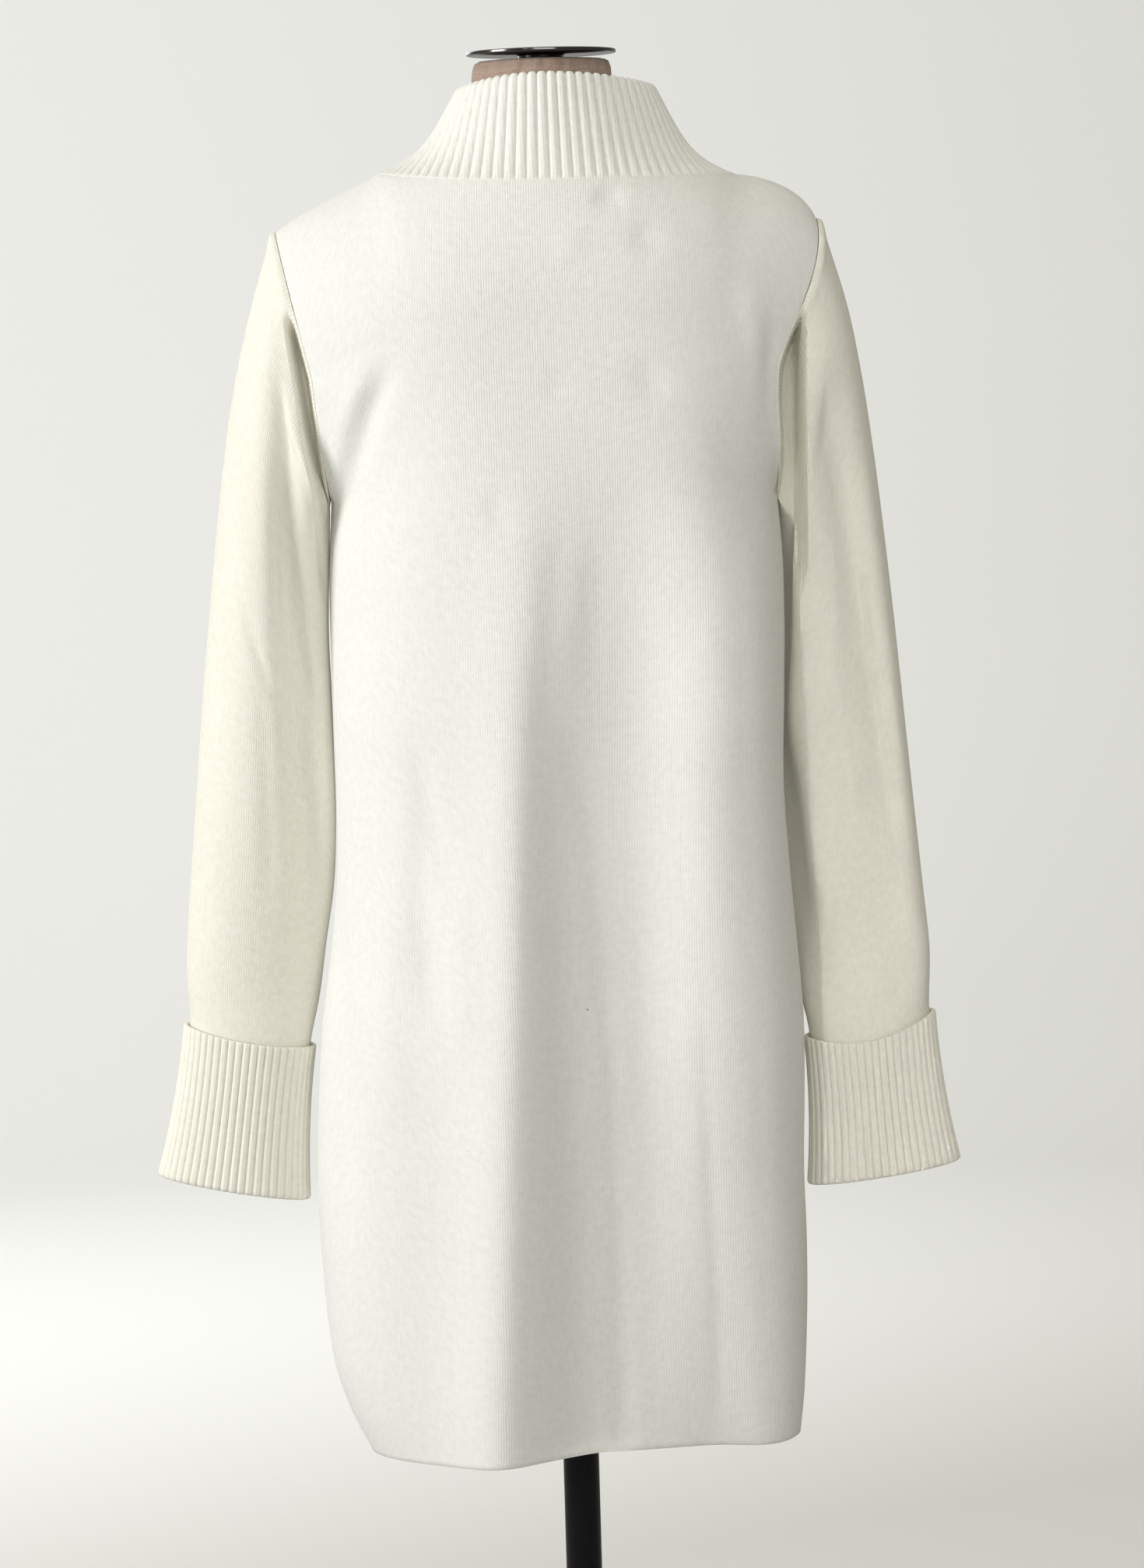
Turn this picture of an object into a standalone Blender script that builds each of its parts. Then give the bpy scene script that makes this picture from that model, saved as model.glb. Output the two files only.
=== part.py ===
"""A long knitted cardigan with a ribbed funnel collar and turned-back cuffs, on a dress form.

Metres, +Z up. The origin is on the floor under the middle of the round base, the front of
the garment faces -Y, and the wearer's left is +X. Every piece of cloth is a wall lofted
through sections; its neighbours lie SEAM apart along the sewn edges.
"""
import math
from collections import namedtuple

import bpy
import bmesh
import numpy as np

# ---- cloth -------------------------------------------------------------------------------
KNIT = 0.0022            # wall of the plain knit
RIB = 0.0034             # wall of the collar's chunky rib
CUFF_RIB = 0.0028        # wall of the cuff's rib
SEAM = 0.0003            # space between two sewn pieces
NECK_COLUMNS = 8         # columns of a half panel that end at the neckline
SHOULDER_COLUMNS = 4     # and those that end at the shoulder seam
HALF_COLUMNS = NECK_COLUMNS + SHOULDER_COLUMNS

# ---- neckline and shoulders, at the cloth's outer face --------------------------------------
NECK_BACK_Y, NECK_BACK_Z = 0.078, 1.424      # neckline at the middle of the back
NECK_FRONT_Y, NECK_FRONT_Z = -0.092, 1.385   # neckline at the front edges
NECK_FRONT_DROP = 1.8                        # how late the neckline falls towards the front
SIDE_Y = -0.002                              # depth at which the side seams run
# Direction in which the cloth is cut along the neckline: sideways at the shoulder, back at
# the middle, up at the middle, and how much more up at the shoulder.
RIM_SIDE, RIM_BACK, RIM_UP, RIM_UP_MORE = 0.25, 0.85, 0.45, 0.50

Shoulder = namedtuple("Shoulder", "sign neck_x neck_z tip_x tip_z lift drop bulge")
LEFT = Shoulder(sign=1, neck_x=0.1185, neck_z=1.4330, tip_x=0.190, tip_z=1.395, lift=0.000,
                drop=0.003, bulge=0.000)
RIGHT = Shoulder(sign=-1, neck_x=0.1340, neck_z=1.4262, tip_x=0.190, tip_z=1.394, lift=0.005,
                 drop=0.009, bulge=0.005)
DROP_POWER = 8           # how suddenly the shoulder drops at its tip
BULGE_SCALE = 6.75       # makes the bulge of the upper armhole its greatest width
BULGE_SPREAD = 4         # how closely the bulge keeps to a panel's edge

# The armhole is an oval in a steep plane, widest front to back at its middle.
ARM_MIDDLE_X, ARM_MIDDLE_Z = 0.1655, 1.292
ARM_UNDER_X, ARM_UNDER_Z = 0.157, 1.205
ARM_BACK_Y, ARM_FRONT_Y = 0.050, -0.052
ARM_OUTWARD = (0.972, 0.0, -0.235)           # across the armhole, away from the body
ARM_ANGLES = [0, 18, 36, 54, 72, 90, 112, 135, 157, 180]   # shoulder tip to underarm, degrees

# ---- the body tube -------------------------------------------------------------------------
# half-widths to the wearer's left and right, depths of back and front at the middle
BodyRow = namedtuple("BodyRow", "z left right back front")
BODY_ROWS = [
    BodyRow(0.528, 0.150, 0.1545, 0.090, -0.094),
    BodyRow(0.555, 0.163, 0.1585, 0.093, -0.099),
    BodyRow(0.585, 0.173, 0.161, 0.096, -0.103),
    BodyRow(0.620, 0.178, 0.163, 0.099, -0.106),
    BodyRow(0.670, 0.181, 0.164, 0.102, -0.109),
    BodyRow(0.725, 0.182, 0.163, 0.105, -0.111),
    BodyRow(0.780, 0.1795, 0.1650, 0.107, -0.112),
    BodyRow(0.835, 0.1750, 0.1655, 0.108, -0.112),
    BodyRow(0.890, 0.1670, 0.1607, 0.107, -0.112),
    BodyRow(0.945, 0.1612, 0.1552, 0.106, -0.112),
    BodyRow(1.000, 0.1596, 0.1515, 0.105, -0.113),
    BodyRow(1.055, 0.1602, 0.1540, 0.105, -0.114),
    BodyRow(1.110, 0.1608, 0.1580, 0.105, -0.115),
    BodyRow(1.160, 0.1600, 0.1600, 0.105, -0.116),
    BodyRow(1.205, 0.1570, 0.1570, 0.104, -0.116),
]
BLADE_BACK_Y, BLADE_BACK_Z = 0.101, 1.335    # fullest height of the upper back
BLADE_FRONT_Y, BLADE_FRONT_Z = -0.113, 1.300
SQUARENESS = 2.4         # of the level sections below; 2 is an ellipse, more is squarer
FLATNESS = 3.0           # of the rows above, which run out to the armholes
ROUND_AT_UNDERARM, ROUND_Z = 0.46, 1.055     # share of the rounding there, and where it is full
EDGE_POWER = 8           # how closely the pull of the armhole keeps to a panel's edge
EDGE_FREE_Z = 1.110      # below this height the sides are not pulled in
NECK_START = 52          # degrees the cloth has already turned down at the neckline's middle

# Long folds of the body: where each starts, where it runs at its top and at the hem, how far it
# stands out (+) or in (-) at the hem, its half-width, and how early it gains its depth.
Fold = namedtuple("Fold", "face top_z top_x hem_x depth reach early")
FOLDS = [
    Fold("back", 1.245, 0.0135, 0.056, 0.021, 0.035, 2.9),
    Fold("back", 1.260, -0.070, -0.068, -0.050, 0.066, 1.8),
    Fold("back", 1.338, -0.125, -0.067, 0.034, 0.050, 4.0),
    Fold("front", 1.16, 0.070, 0.062, -0.012, 0.026, 1.0),
    Fold("front", 1.08, 0.110, 0.116, 0.008, 0.024, 1.0),
    Fold("front", 1.12, -0.058, -0.050, -0.010, 0.024, 1.0),
    Fold("front", 1.10, -0.100, -0.098, 0.009, 0.026, 1.0),
]
FOLD_START = 0.06        # share of a fold's length over which it begins softly
FOLD_HOLD = 6            # how closely the seams at the sides hold the folds down
HEM_LIFT, HEM_LIFT_X, HEM_LIFT_REACH = 0.008, -0.060, 0.130   # the back hem rides up here
HEM_LIFT_TOP_Z = 0.66
FRONT_EDGE = 178.3       # degrees round the neckline from the back to each front edge
FRONT_GAP_HEM = 0.021    # half the space between the two fronts at the hem
FRONT_GAP_GROWTH = 1.3

# ---- collar ----------------------------------------------------------------------------------
COLLAR_TOP_BACK_Y, COLLAR_TOP_BACK_Z = 0.0565, 1.4985
COLLAR_TOP_FRONT_Y, COLLAR_TOP_FRONT_Z = -0.098, 1.464
COLLAR_TOP_LEFT_X, COLLAR_TOP_LEFT_Z = 0.0590, 1.4920
COLLAR_TOP_RIGHT_X, COLLAR_TOP_RIGHT_Z = 0.0785, 1.4905
COLLAR_FLARE = 0.42      # share of the collar's lean that its flared foot takes up
COLLAR_FLARE_POWER = 6   # how soon above the foot the flare ends
COLLAR_CLEAR = 0.00045   # the collar's foot stands off the neckline by this
COLLAR_HEIGHTS = [0.0, 0.08, 0.20, 0.42, 0.70, 1.0]
COLLAR_TOP_END = 176.5   # degrees from the back to the top of the collar's front edges

# ---- sleeves -----------------------------------------------------------------------------------
# Each ring by its inner and outer end, seen from behind, its middle depth and half-depth, and
# how far its inner end is tucked forward of the body's side.
SleeveRow = namedtuple("SleeveRow", "inner_x inner_z outer_x outer_z middle_y half_depth tuck")
SLEEVE_ROWS = {
    "left": [
        SleeveRow(0.1597, 1.180, 0.2095, 1.3410, -0.003, 0.055, 0.000),
        SleeveRow(0.1610, 1.150, 0.2230, 1.2880, -0.008, 0.055, -0.005),
        SleeveRow(0.1618, 1.112, 0.2335, 1.2290, -0.013, 0.052, -0.009),
        SleeveRow(0.1612, 1.070, 0.2425, 1.1620, -0.017, 0.048, -0.013),
        SleeveRow(0.1609, 1.025, 0.2505, 1.0980, -0.020, 0.045, -0.016),
        SleeveRow(0.1612, 0.980, 0.2570, 1.0380, -0.021, 0.042, -0.014),
        SleeveRow(0.1645, 0.932, 0.2630, 0.9780, -0.021, 0.039, -0.006),
        SleeveRow(0.1715, 0.890, 0.2685, 0.9230, -0.020, 0.035, 0.000),
        SleeveRow(0.1780, 0.850, 0.2722, 0.8720, -0.018, 0.031, 0.004),
    ],
    "right": [
        SleeveRow(0.1583, 1.180, 0.2092, 1.3380, -0.003, 0.055, 0.024),
        SleeveRow(0.1572, 1.150, 0.2193, 1.2870, -0.008, 0.055, 0.032),
        SleeveRow(0.1550, 1.112, 0.2273, 1.2290, -0.013, 0.052, 0.036),
        SleeveRow(0.1510, 1.070, 0.2345, 1.1630, -0.017, 0.048, 0.036),
        SleeveRow(0.1470, 1.025, 0.2405, 1.1000, -0.020, 0.045, 0.036),
        SleeveRow(0.1545, 0.980, 0.2455, 1.0400, -0.021, 0.042, 0.034),
        SleeveRow(0.1600, 0.932, 0.2508, 0.9770, -0.021, 0.039, 0.028),
        SleeveRow(0.1625, 0.890, 0.2555, 0.9220, -0.020, 0.035, 0.020),
        SleeveRow(0.1650, 0.850, 0.2595, 0.8720, -0.018, 0.031, 0.010),
    ],
}
TUCK_POWER = 1.5         # how closely the tuck keeps to the inner side of the sleeve
SLEEVE_PINCH = {"left": (0.15, 0.45, 0.60, 0.60, 0.60, 0.60, 0.50, 0.35, 0.15),   # how much flatter
                "right": (0.0,) * 9}                 # each ring is toward its inner end
# Long troughs down the back of each sleeve: the angle round the sleeve at the armhole and at
# the cuff, depth, half-width in degrees, and the rows over which each is at its full depth.
Trough = namedtuple("Trough", "top_angle end_angle depth reach first last")
SLEEVE_TROUGHS = {
    "left": [Trough(76, 164, 0.009, 20, 2, 6), Trough(290, 255, 0.006, 26, 4, 9)],
    "right": [Trough(80, 66, 0.008, 24, 3, 10), Trough(150, 160, 0.009, 24, 2, 6),
              Trough(280, 265, 0.006, 26, 4, 9)],
}
SLEEVE_FIRST_STEP = 0.003  # the sleeve leaves the armhole square for this far

# ---- cuffs: the rib goes down from the sleeve's end, folds, and comes back up outside ------------
CuffRow = namedtuple("CuffRow", SleeveRow._fields + ("sag",))
CUFF_ENDS = {
    "left": (CuffRow(0.1890, 0.7040, 0.2985, 0.7250, -0.022, 0.029, 0.0, 0.000),
             CuffRow(0.1812, 0.8165, 0.2752, 0.8350, -0.018, 0.032, 0.0, 0.003)),
    "right": (CuffRow(0.1680, 0.7045, 0.2790, 0.7200, -0.022, 0.029, 0.0, 0.000),
              CuffRow(0.1680, 0.8130, 0.2625, 0.8300, -0.018, 0.032, 0.0, 0.009)),
}
CUFF_BOW = 0.0025        # the cuff's sides are hollow by this much half-way up
CUFF_SLOT = 0.0014       # space between the two layers
CUFF_COVER = 0.11        # share of the cuff's height by which it covers the sleeve's end
CUFF_BEND = 0.030        # share of the cuff's height that the fold takes up
CUFF_BEND_INSIDE = 0.039
SLEEVE_CUFF_GAP = 0.0003   # between the sleeve's end and the layer of the cuff it runs into
SLEEVE_AT_CUFF = 1.02    # the sleeve meets the cuff's top edge at this share of its height
SLEEVE_END = 0.894       # and ends at this one, between the cuff's two layers

# ---- dress form and stand --------------------------------------------------------------------------
FormRow = namedtuple("FormRow", "z half_width back front power")
FORM_ROWS = [
    FormRow(0.8000, 0.1180, 0.0700, -0.0720, 2.2), FormRow(0.8060, 0.1320, 0.0790, -0.0810, 2.2),
    FormRow(0.8220, 0.1420, 0.0850, -0.0860, 2.2), FormRow(0.8500, 0.1460, 0.0870, -0.0890, 2.2),
    FormRow(0.9000, 0.1440, 0.0860, -0.0890, 2.2), FormRow(0.9600, 0.1340, 0.0820, -0.0870, 2.2),
    FormRow(1.0200, 0.1220, 0.0780, -0.0860, 2.2), FormRow(1.0700, 0.1180, 0.0770, -0.0870, 2.2),
    FormRow(1.1200, 0.1220, 0.0790, -0.0920, 2.2), FormRow(1.1800, 0.1320, 0.0840, -0.1000, 2.2),
    FormRow(1.2400, 0.1420, 0.0890, -0.1050, 2.2), FormRow(1.2900, 0.1500, 0.0910, -0.1020, 2.2),
    FormRow(1.3300, 0.1600, 0.0880, -0.0940, 2.2), FormRow(1.3600, 0.1700, 0.0810, -0.0840, 2.2),
    FormRow(1.3800, 0.1760, 0.0730, -0.0750, 2.1), FormRow(1.3900, 0.1765, 0.0675, -0.0700, 2.1),
    FormRow(1.3965, 0.1750, 0.0640, -0.0670, 2.1), FormRow(1.4015, 0.1715, 0.0610, -0.0640, 1.8),
    FormRow(1.4110, 0.1570, 0.0550, -0.0580, 1.55), FormRow(1.4200, 0.1385, 0.0515, -0.0540, 1.4),
    FormRow(1.4290, 0.1170, 0.0500, -0.0520, 1.35), FormRow(1.4355, 0.0960, 0.0498, -0.0510, 1.4),
    FormRow(1.4410, 0.0840, 0.0496, -0.0500, 1.5), FormRow(1.4490, 0.0710, 0.0494, -0.0496, 1.7),
    FormRow(1.4580, 0.0610, 0.0492, -0.0492, 1.9), FormRow(1.4700, 0.0540, 0.0491, -0.0491, 2.0),
    FormRow(1.4850, 0.0500, 0.0490, -0.0490, 2.0), FormRow(1.5030, 0.0490, 0.0490, -0.0490, 2.0),
    FormRow(1.5075, 0.0475, 0.0475, -0.0475, 2.0), FormRow(1.5090, 0.0445, 0.0445, -0.0445, 2.0),
]
FORM_COLUMNS = 32
CAP_RADIUS, CAP_UNDER_Z, CAP_TOP_Z, CAP_STEM_RADIUS = 0.0525, 1.5133, 1.5158, 0.016
POLE_RADIUS, FLANGE_RADIUS, FLANGE_THICK = 0.0128, 0.045, 0.006
BASE_RADIUS, BASE_THICK, SOCKET_RADIUS, SOCKET_TOP_Z = 0.175, 0.008, 0.024, 0.060
ROUND_STEPS = 48

COLOURS = {
    "knit": ((0.86, 0.85, 0.79), 0.90, 0.0),
    "rib": ((0.85, 0.83, 0.76), 0.90, 0.0),
    "linen": ((0.50, 0.36, 0.27), 0.85, 0.0),
    "dark_chrome": ((0.10, 0.10, 0.10), 0.20, 1.0),
    "black_paint": ((0.012, 0.012, 0.013), 0.35, 0.0),
}


# ---- small helpers -----------------------------------------------------------------------------
def through(keys, values, at):
    """A smooth curve through a table column (keys rising), read at the places asked for."""
    keys, values = np.asarray(keys, float), np.asarray(values, float)
    slopes = np.gradient(values, keys)
    at = np.clip(at, keys[0], keys[-1])
    i = np.clip(np.searchsorted(keys, at, side="right") - 1, 0, len(keys) - 2)
    span = keys[i + 1] - keys[i]
    f = (at - keys[i]) / span
    start, end = values[i], values[i + 1]
    return (start * (1 + 2 * f) * (1 - f) ** 2 + span * slopes[i] * f * (1 - f) ** 2
            + end * f ** 2 * (3 - 2 * f) - span * slopes[i + 1] * f ** 2 * (1 - f))


def column(rows, name, at):
    """One named column of a table whose rows are keyed by height."""
    return through([row.z for row in rows], [getattr(row, name) for row in rows], at)


def evenly(points, count):
    """The same line, cut into equal steps."""
    points = np.asarray(points)
    run = np.concatenate([[0.0], np.cumsum(np.linalg.norm(np.diff(points, axis=0), axis=1))])
    at = np.linspace(0.0, run[-1], count + 1)
    return np.stack([np.interp(at, run, points[:, axis]) for axis in range(3)], axis=1)


def unit(vectors):
    return vectors / np.maximum(np.linalg.norm(vectors, axis=-1, keepdims=True), 1e-12)


def surface_normals(grid, wrap):
    """Outward unit normals of a grid of points; wrap joins the last column to the first."""
    if wrap:
        across = np.roll(grid, -1, axis=1) - np.roll(grid, 1, axis=1)
    else:
        across = np.gradient(grid, axis=1)
    normals = unit(np.cross(across, np.gradient(grid, axis=0)))
    outward = np.sum(normals * (grid - grid.mean(axis=(0, 1))))
    return normals if outward > 0 else -normals


def material(name):
    made = bpy.data.materials.get(name)
    if made is None:
        colour, roughness, metallic = COLOURS[name]
        made = bpy.data.materials.new(name)
        made.use_nodes = True
        surface = made.node_tree.nodes["Principled BSDF"]
        surface.inputs["Base Color"].default_value = (*colour, 1.0)
        surface.inputs["Roughness"].default_value = roughness
        surface.inputs["Metallic"].default_value = metallic
    return made


def add_object(name, mesh, finish, collection, smooth_angle=40):
    body = bpy.data.objects.new(name, mesh)
    own = material(finish).copy()
    own.name = name + "_finish"
    mesh.materials.append(own)
    mesh.shade_smooth()
    mesh.set_sharp_from_angle(angle=math.radians(smooth_angle))
    collection.objects.link(body)
    return body


def mesh_from(name, points, faces):
    """A closed mesh with its faces turned outwards."""
    mesh = bpy.data.meshes.new(name)
    mesh.from_pydata([tuple(point) for point in points], [], faces)
    work = bmesh.new()
    work.from_mesh(mesh)
    bmesh.ops.recalc_face_normals(work, faces=work.faces)
    work.to_mesh(mesh)
    work.free()
    return mesh


def grid_faces(rows, columns, wrap_columns, wrap_rows=False, first=0):
    """Quads between neighbouring points of a grid stored row by row from point `first`."""
    faces = []
    for r in range(rows if wrap_rows else rows - 1):
        below = (r + 1) % rows
        for c in range(columns if wrap_columns else columns - 1):
            beside = (c + 1) % columns
            faces.append((first + r * columns + c, first + r * columns + beside,
                          first + below * columns + beside, first + below * columns + c))
    return faces


def cloth_wall(name, outer, inner, wrap, finish, collection):
    """A wall between two grids of points, closed along its open edges."""
    rows, columns = outer.shape[:2]
    count = rows * columns
    faces = grid_faces(rows, columns, wrap)
    faces += [tuple(count + index for index in reversed(face)) for face in faces]
    edges = [[r * columns + c for c in range(columns)] for r in (0, rows - 1)]
    if wrap:
        edges = [edge + edge[:1] for edge in edges]
    else:
        edges += [[r * columns + c for r in range(rows)] for c in (0, columns - 1)]
    for edge in edges:
        for a, b in zip(edge, edge[1:]):
            faces.append((a, b, count + b, count + a))
    points = np.concatenate([outer.reshape(-1, 3), inner.reshape(-1, 3)])
    return add_object(name, mesh_from(name, points, faces), finish, collection)


# ---- lines that neighbouring pieces share ------------------------------------------------------
def neckline(side, angle):
    """Neckline points; the angle runs from 0 at the back to 90 at the shoulder, 180 in front."""
    turn = np.radians(angle)
    forward = np.cos(turn) < 0
    x = side.sign * side.neck_x * np.sin(turn)
    y = np.where(forward, -NECK_FRONT_Y, NECK_BACK_Y) * np.cos(turn)
    back_z = NECK_BACK_Z + (side.neck_z - NECK_BACK_Z) * np.sin(turn) ** 2
    front_z = side.neck_z - (side.neck_z - NECK_FRONT_Z) * np.abs(np.cos(turn)) ** NECK_FRONT_DROP
    return np.stack([x, y, np.where(forward, front_z, back_z)], axis=-1)


def neckline_rim(side, angle):
    """The direction in which the cloth's thickness is cut along the neckline."""
    turn = np.radians(angle)
    return unit(np.stack([side.sign * RIM_SIDE * np.sin(turn), RIM_BACK * np.cos(turn),
                          RIM_UP + RIM_UP_MORE * np.sin(turn) ** 2], axis=-1))


def armhole_bulge(side, up):
    """How far the upper armhole bows out sideways; up is 1 at its top and 0 half-way."""
    return side.bulge * BULGE_SCALE * np.clip(up, 0, 1) ** 2 * (1 - up)


def armhole(side, angle):
    """Armhole points; 0 is the shoulder tip, 90 the back, 180 the underarm, 270 the front."""
    turn = np.radians(angle)
    up, back = np.cos(turn), np.sin(turn)
    depth = np.where(back >= 0, ARM_BACK_Y, -ARM_FRONT_Y) * back
    x = ARM_MIDDLE_X + np.where(up > 0, side.tip_x - ARM_MIDDLE_X, ARM_MIDDLE_X - ARM_UNDER_X) * up
    z = ARM_MIDDLE_Z + np.where(up > 0, side.tip_z - ARM_MIDDLE_Z, ARM_MIDDLE_Z - ARM_UNDER_Z) * up
    x = x + armhole_bulge(side, up)
    y = np.where(up > 0, depth, depth + SIDE_Y * (1 - np.abs(back)))
    return np.stack([side.sign * x, y, z], axis=-1)


def shoulder_line(side, share):
    """The shoulder seam, from the neckline (0) to the shoulder tip (1)."""
    x = side.neck_x + (side.tip_x - side.neck_x) * share
    z = side.neck_z + (side.tip_z + side.drop - side.neck_z) * share
    z = z + side.lift * 4 * share * (1 - share) - side.drop * share ** DROP_POWER
    return np.stack([side.sign * x, 0 * share, z], axis=-1)


# ---- body panels -------------------------------------------------------------------------------
Face = namedtuple("Face", "name seam_side blade_y blade_z arm_y arm_angle neck_angle")
BACK = Face("back", 1, BLADE_BACK_Y, BLADE_BACK_Z, ARM_BACK_Y, lambda a: a, lambda a: a)
FRONT = Face("front", -1, BLADE_FRONT_Y, BLADE_FRONT_Z, ARM_FRONT_Y,
             lambda a: 360 - a, lambda a: 180 - a)
FINE = np.linspace(0.0, 1.0, 121)            # places along a half row before it is cut up
BACK_NECK_ANGLES = np.linspace(0, 90, NECK_COLUMNS + 1)
FRONT_NECK_ANGLES = np.linspace(FRONT_EDGE, 90, NECK_COLUMNS + 1)


def add_folds(points, face):
    """Move a row in or out where the long folds cross it, and lift the back hem."""
    x, z = points[:, 0], points[:, 2]
    for fold in FOLDS:
        if fold.face != face.name:
            continue
        drop = np.clip((fold.top_z - z) / (fold.top_z - BODY_ROWS[0].z), 0, 1)
        middle = fold.top_x + (fold.hem_x - fold.top_x) * drop
        share = 1 - (1 - drop * drop / (drop + FOLD_START)) ** fold.early
        shape = np.exp(-((x - middle) / fold.reach) ** 2) * (1 - FINE ** FOLD_HOLD)
        points[:, 1] += face.seam_side * fold.depth * share * shape
    if face.name == "back":
        low = np.clip((HEM_LIFT_TOP_Z - z) / (HEM_LIFT_TOP_Z - BODY_ROWS[0].z), 0, 1)
        points[:, 2] += HEM_LIFT * low * np.exp(-((x - HEM_LIFT_X) / HEM_LIFT_REACH) ** 2)
    return points


def shoulder_row(face, side, angle):
    """Half a row above the blade line, curling over from the shoulder and neckline."""
    neck_share = side.neck_x / side.tip_x
    at_neck = FINE <= neck_share
    neck_angle = np.degrees(np.arcsin(np.clip(FINE / neck_share, 0, 1)))
    share = np.clip((FINE - neck_share) / (1 - neck_share), 0, 1)
    top = np.where(at_neck[:, None], neckline(side, face.neck_angle(neck_angle)),
                   shoulder_line(side, share))
    blade = blade_row(face, side, 0.0)
    start = np.radians(NECK_START * np.clip(1 - (FINE / neck_share) ** 2, 0, 1))
    turn = start + (math.pi / 2 - start) * angle / 90
    out = ((np.sin(turn) - np.sin(start)) / (1 - np.sin(start)))[:, None]
    down = (1 - np.cos(turn) / np.cos(start))[:, None]
    mix = np.concatenate([down, out, down], axis=1)
    row = top + (blade - top) * mix
    row[:, 0] += side.sign * armhole_bulge(side, math.cos(math.radians(angle))) * FINE ** BULGE_SPREAD
    return row


def blade_row(face, side, share):
    """Half a row between the blade line (0) and the underarm (1)."""
    end = armhole(side, face.arm_angle(90 + np.degrees(math.asin(share))))
    low = BODY_ROWS[-1]
    middle_y = face.blade_y + (getattr(low, face.name) - face.blade_y) * share
    middle_z = face.blade_z + (low.z - face.blade_z) * share
    side_y = face.arm_y + (SIDE_Y - face.arm_y) * share ** 2 * (3 - 2 * share)
    free_end = (free_half_width(side, middle_z), side_y)
    return row_between(end, free_end, middle_y, middle_z, ROUND_AT_UNDERARM * share)


def half_width(side, z):
    return column(BODY_ROWS, "left" if side.sign > 0 else "right", z)


def free_half_width(side, z):
    """Half-width that a row would have if the armhole did not pull its edge in."""
    low = half_width(side, min(z, EDGE_FREE_Z))
    share = max(0.0, z - EDGE_FREE_Z) / (BLADE_BACK_Z - EDGE_FREE_Z)
    return low + (ARM_MIDDLE_X - low) * share


def skirt_row(face, side, z):
    """Half a level row below the underarm."""
    end = np.array([side.sign * half_width(side, z), SIDE_Y, z])
    below = np.clip((BODY_ROWS[-1].z - z) / (BODY_ROWS[-1].z - ROUND_Z), 0, 1)
    roundness = ROUND_AT_UNDERARM + (1 - ROUND_AT_UNDERARM) * below
    free_end = (free_half_width(side, z), SIDE_Y)
    return row_between(end, free_end, column(BODY_ROWS, face.name, z), z, roundness)


def row_between(end, free_end, middle_y, middle_z, roundness):
    """From the middle of the panel to its edge: open at the top, rounding into the side below."""
    turn = FINE * math.pi / 2
    round_x, round_y = np.sin(turn) ** (2 / SQUARENESS), np.cos(turn) ** (2 / SQUARENESS)
    flat_y = 1 - FINE ** FLATNESS
    across = FINE + (round_x - FINE) * roundness
    deep = flat_y + (round_y - flat_y) * roundness
    free_x, side_y = math.copysign(free_end[0], end[0]), free_end[1]
    pull = FINE ** EDGE_POWER
    x = free_x * across + (end[0] - free_x) * pull
    y = side_y + (middle_y - side_y) * deep + (end[1] - side_y) * pull
    z = end[2] + (middle_z - end[2]) * (1 - across ** 2)
    return np.stack([x, y, z], axis=1)


def skirt_heights():
    return [row.z for row in reversed(BODY_ROWS[:-1])]


def half_rows(face, side):
    """All half rows of a panel from the shoulder to the hem, each with its folds."""
    upper = [angle for angle in ARM_ANGLES if angle < 90]
    lower = [math.sin(math.radians(angle - 90)) for angle in ARM_ANGLES if angle >= 90]
    rows = [shoulder_row(face, side, angle) for angle in upper]
    rows += [blade_row(face, side, share) for share in lower]
    rows += [skirt_row(face, side, z) for z in skirt_heights()]
    return [add_folds(row, face) for row in rows]


def top_row(side, neck_angles):
    """The upper edge of half a panel: along the neckline, then along the shoulder seam."""
    shares = np.linspace(0, 1, SHOULDER_COLUMNS + 1)[1:]
    return np.concatenate([neckline(side, neck_angles), shoulder_line(side, shares)])


def back_grid():
    halves = []
    for side in (RIGHT, LEFT):
        rows = half_rows(BACK, side)[1:]
        top = top_row(side, BACK_NECK_ANGLES)
        halves.append(np.stack([top] + [evenly(row, HALF_COLUMNS) for row in rows]))
    return np.concatenate([halves[0][:, ::-1], halves[1][:, 1:]], axis=1)


def front_grid(side):
    """One front, cut off at its open edge."""
    gap_top = side.neck_x * math.sin(math.radians(FRONT_EDGE))
    grid = [top_row(side, FRONT_NECK_ANGLES)]
    for row in half_rows(FRONT, side)[1:]:
        drop = np.clip((NECK_FRONT_Z - row[0, 2]) / (NECK_FRONT_Z - BODY_ROWS[0].z), 0, 1)
        edge_x = gap_top + (FRONT_GAP_HEM - gap_top) * drop ** FRONT_GAP_GROWTH
        reach = np.abs(row[:, 0])
        edge = [np.interp(edge_x, reach, row[:, axis]) for axis in range(3)]
        grid.append(evenly(np.concatenate([[edge], row[reach > edge_x]]), HALF_COLUMNS))
    return np.stack(grid)


def panel_wall(name, face, outer, side_edges, collection):
    """Give a panel its thickness; along seams it is cut square to the seam."""
    normals = surface_normals(outer, wrap=False)
    seam_points = [(row, c) for c in side_edges for row in range(len(ARM_ANGLES) - 1, len(outer))]
    for c, point in enumerate(outer[0]):
        side = LEFT if point[0] > 0 else RIGHT
        share = abs(point[0]) / side.neck_x
        if share < 1 + 1e-3:
            angle = math.degrees(math.asin(min(share, 1.0)))
            normals[0, c] = neckline_rim(side, face.neck_angle(angle))
        else:
            seam_points.append((0, c))
        if share > 1 - 1e-3:
            outer[0, c, 1] += face.seam_side * SEAM / 2
    for row, c in seam_points:
        normals[row, c, 1] = 0
        if row > 0:
            outer[row, c, 1] += face.seam_side * SEAM / 2
    cloth_wall(name, outer, outer - KNIT * unit(normals), False, "knit", collection)


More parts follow.
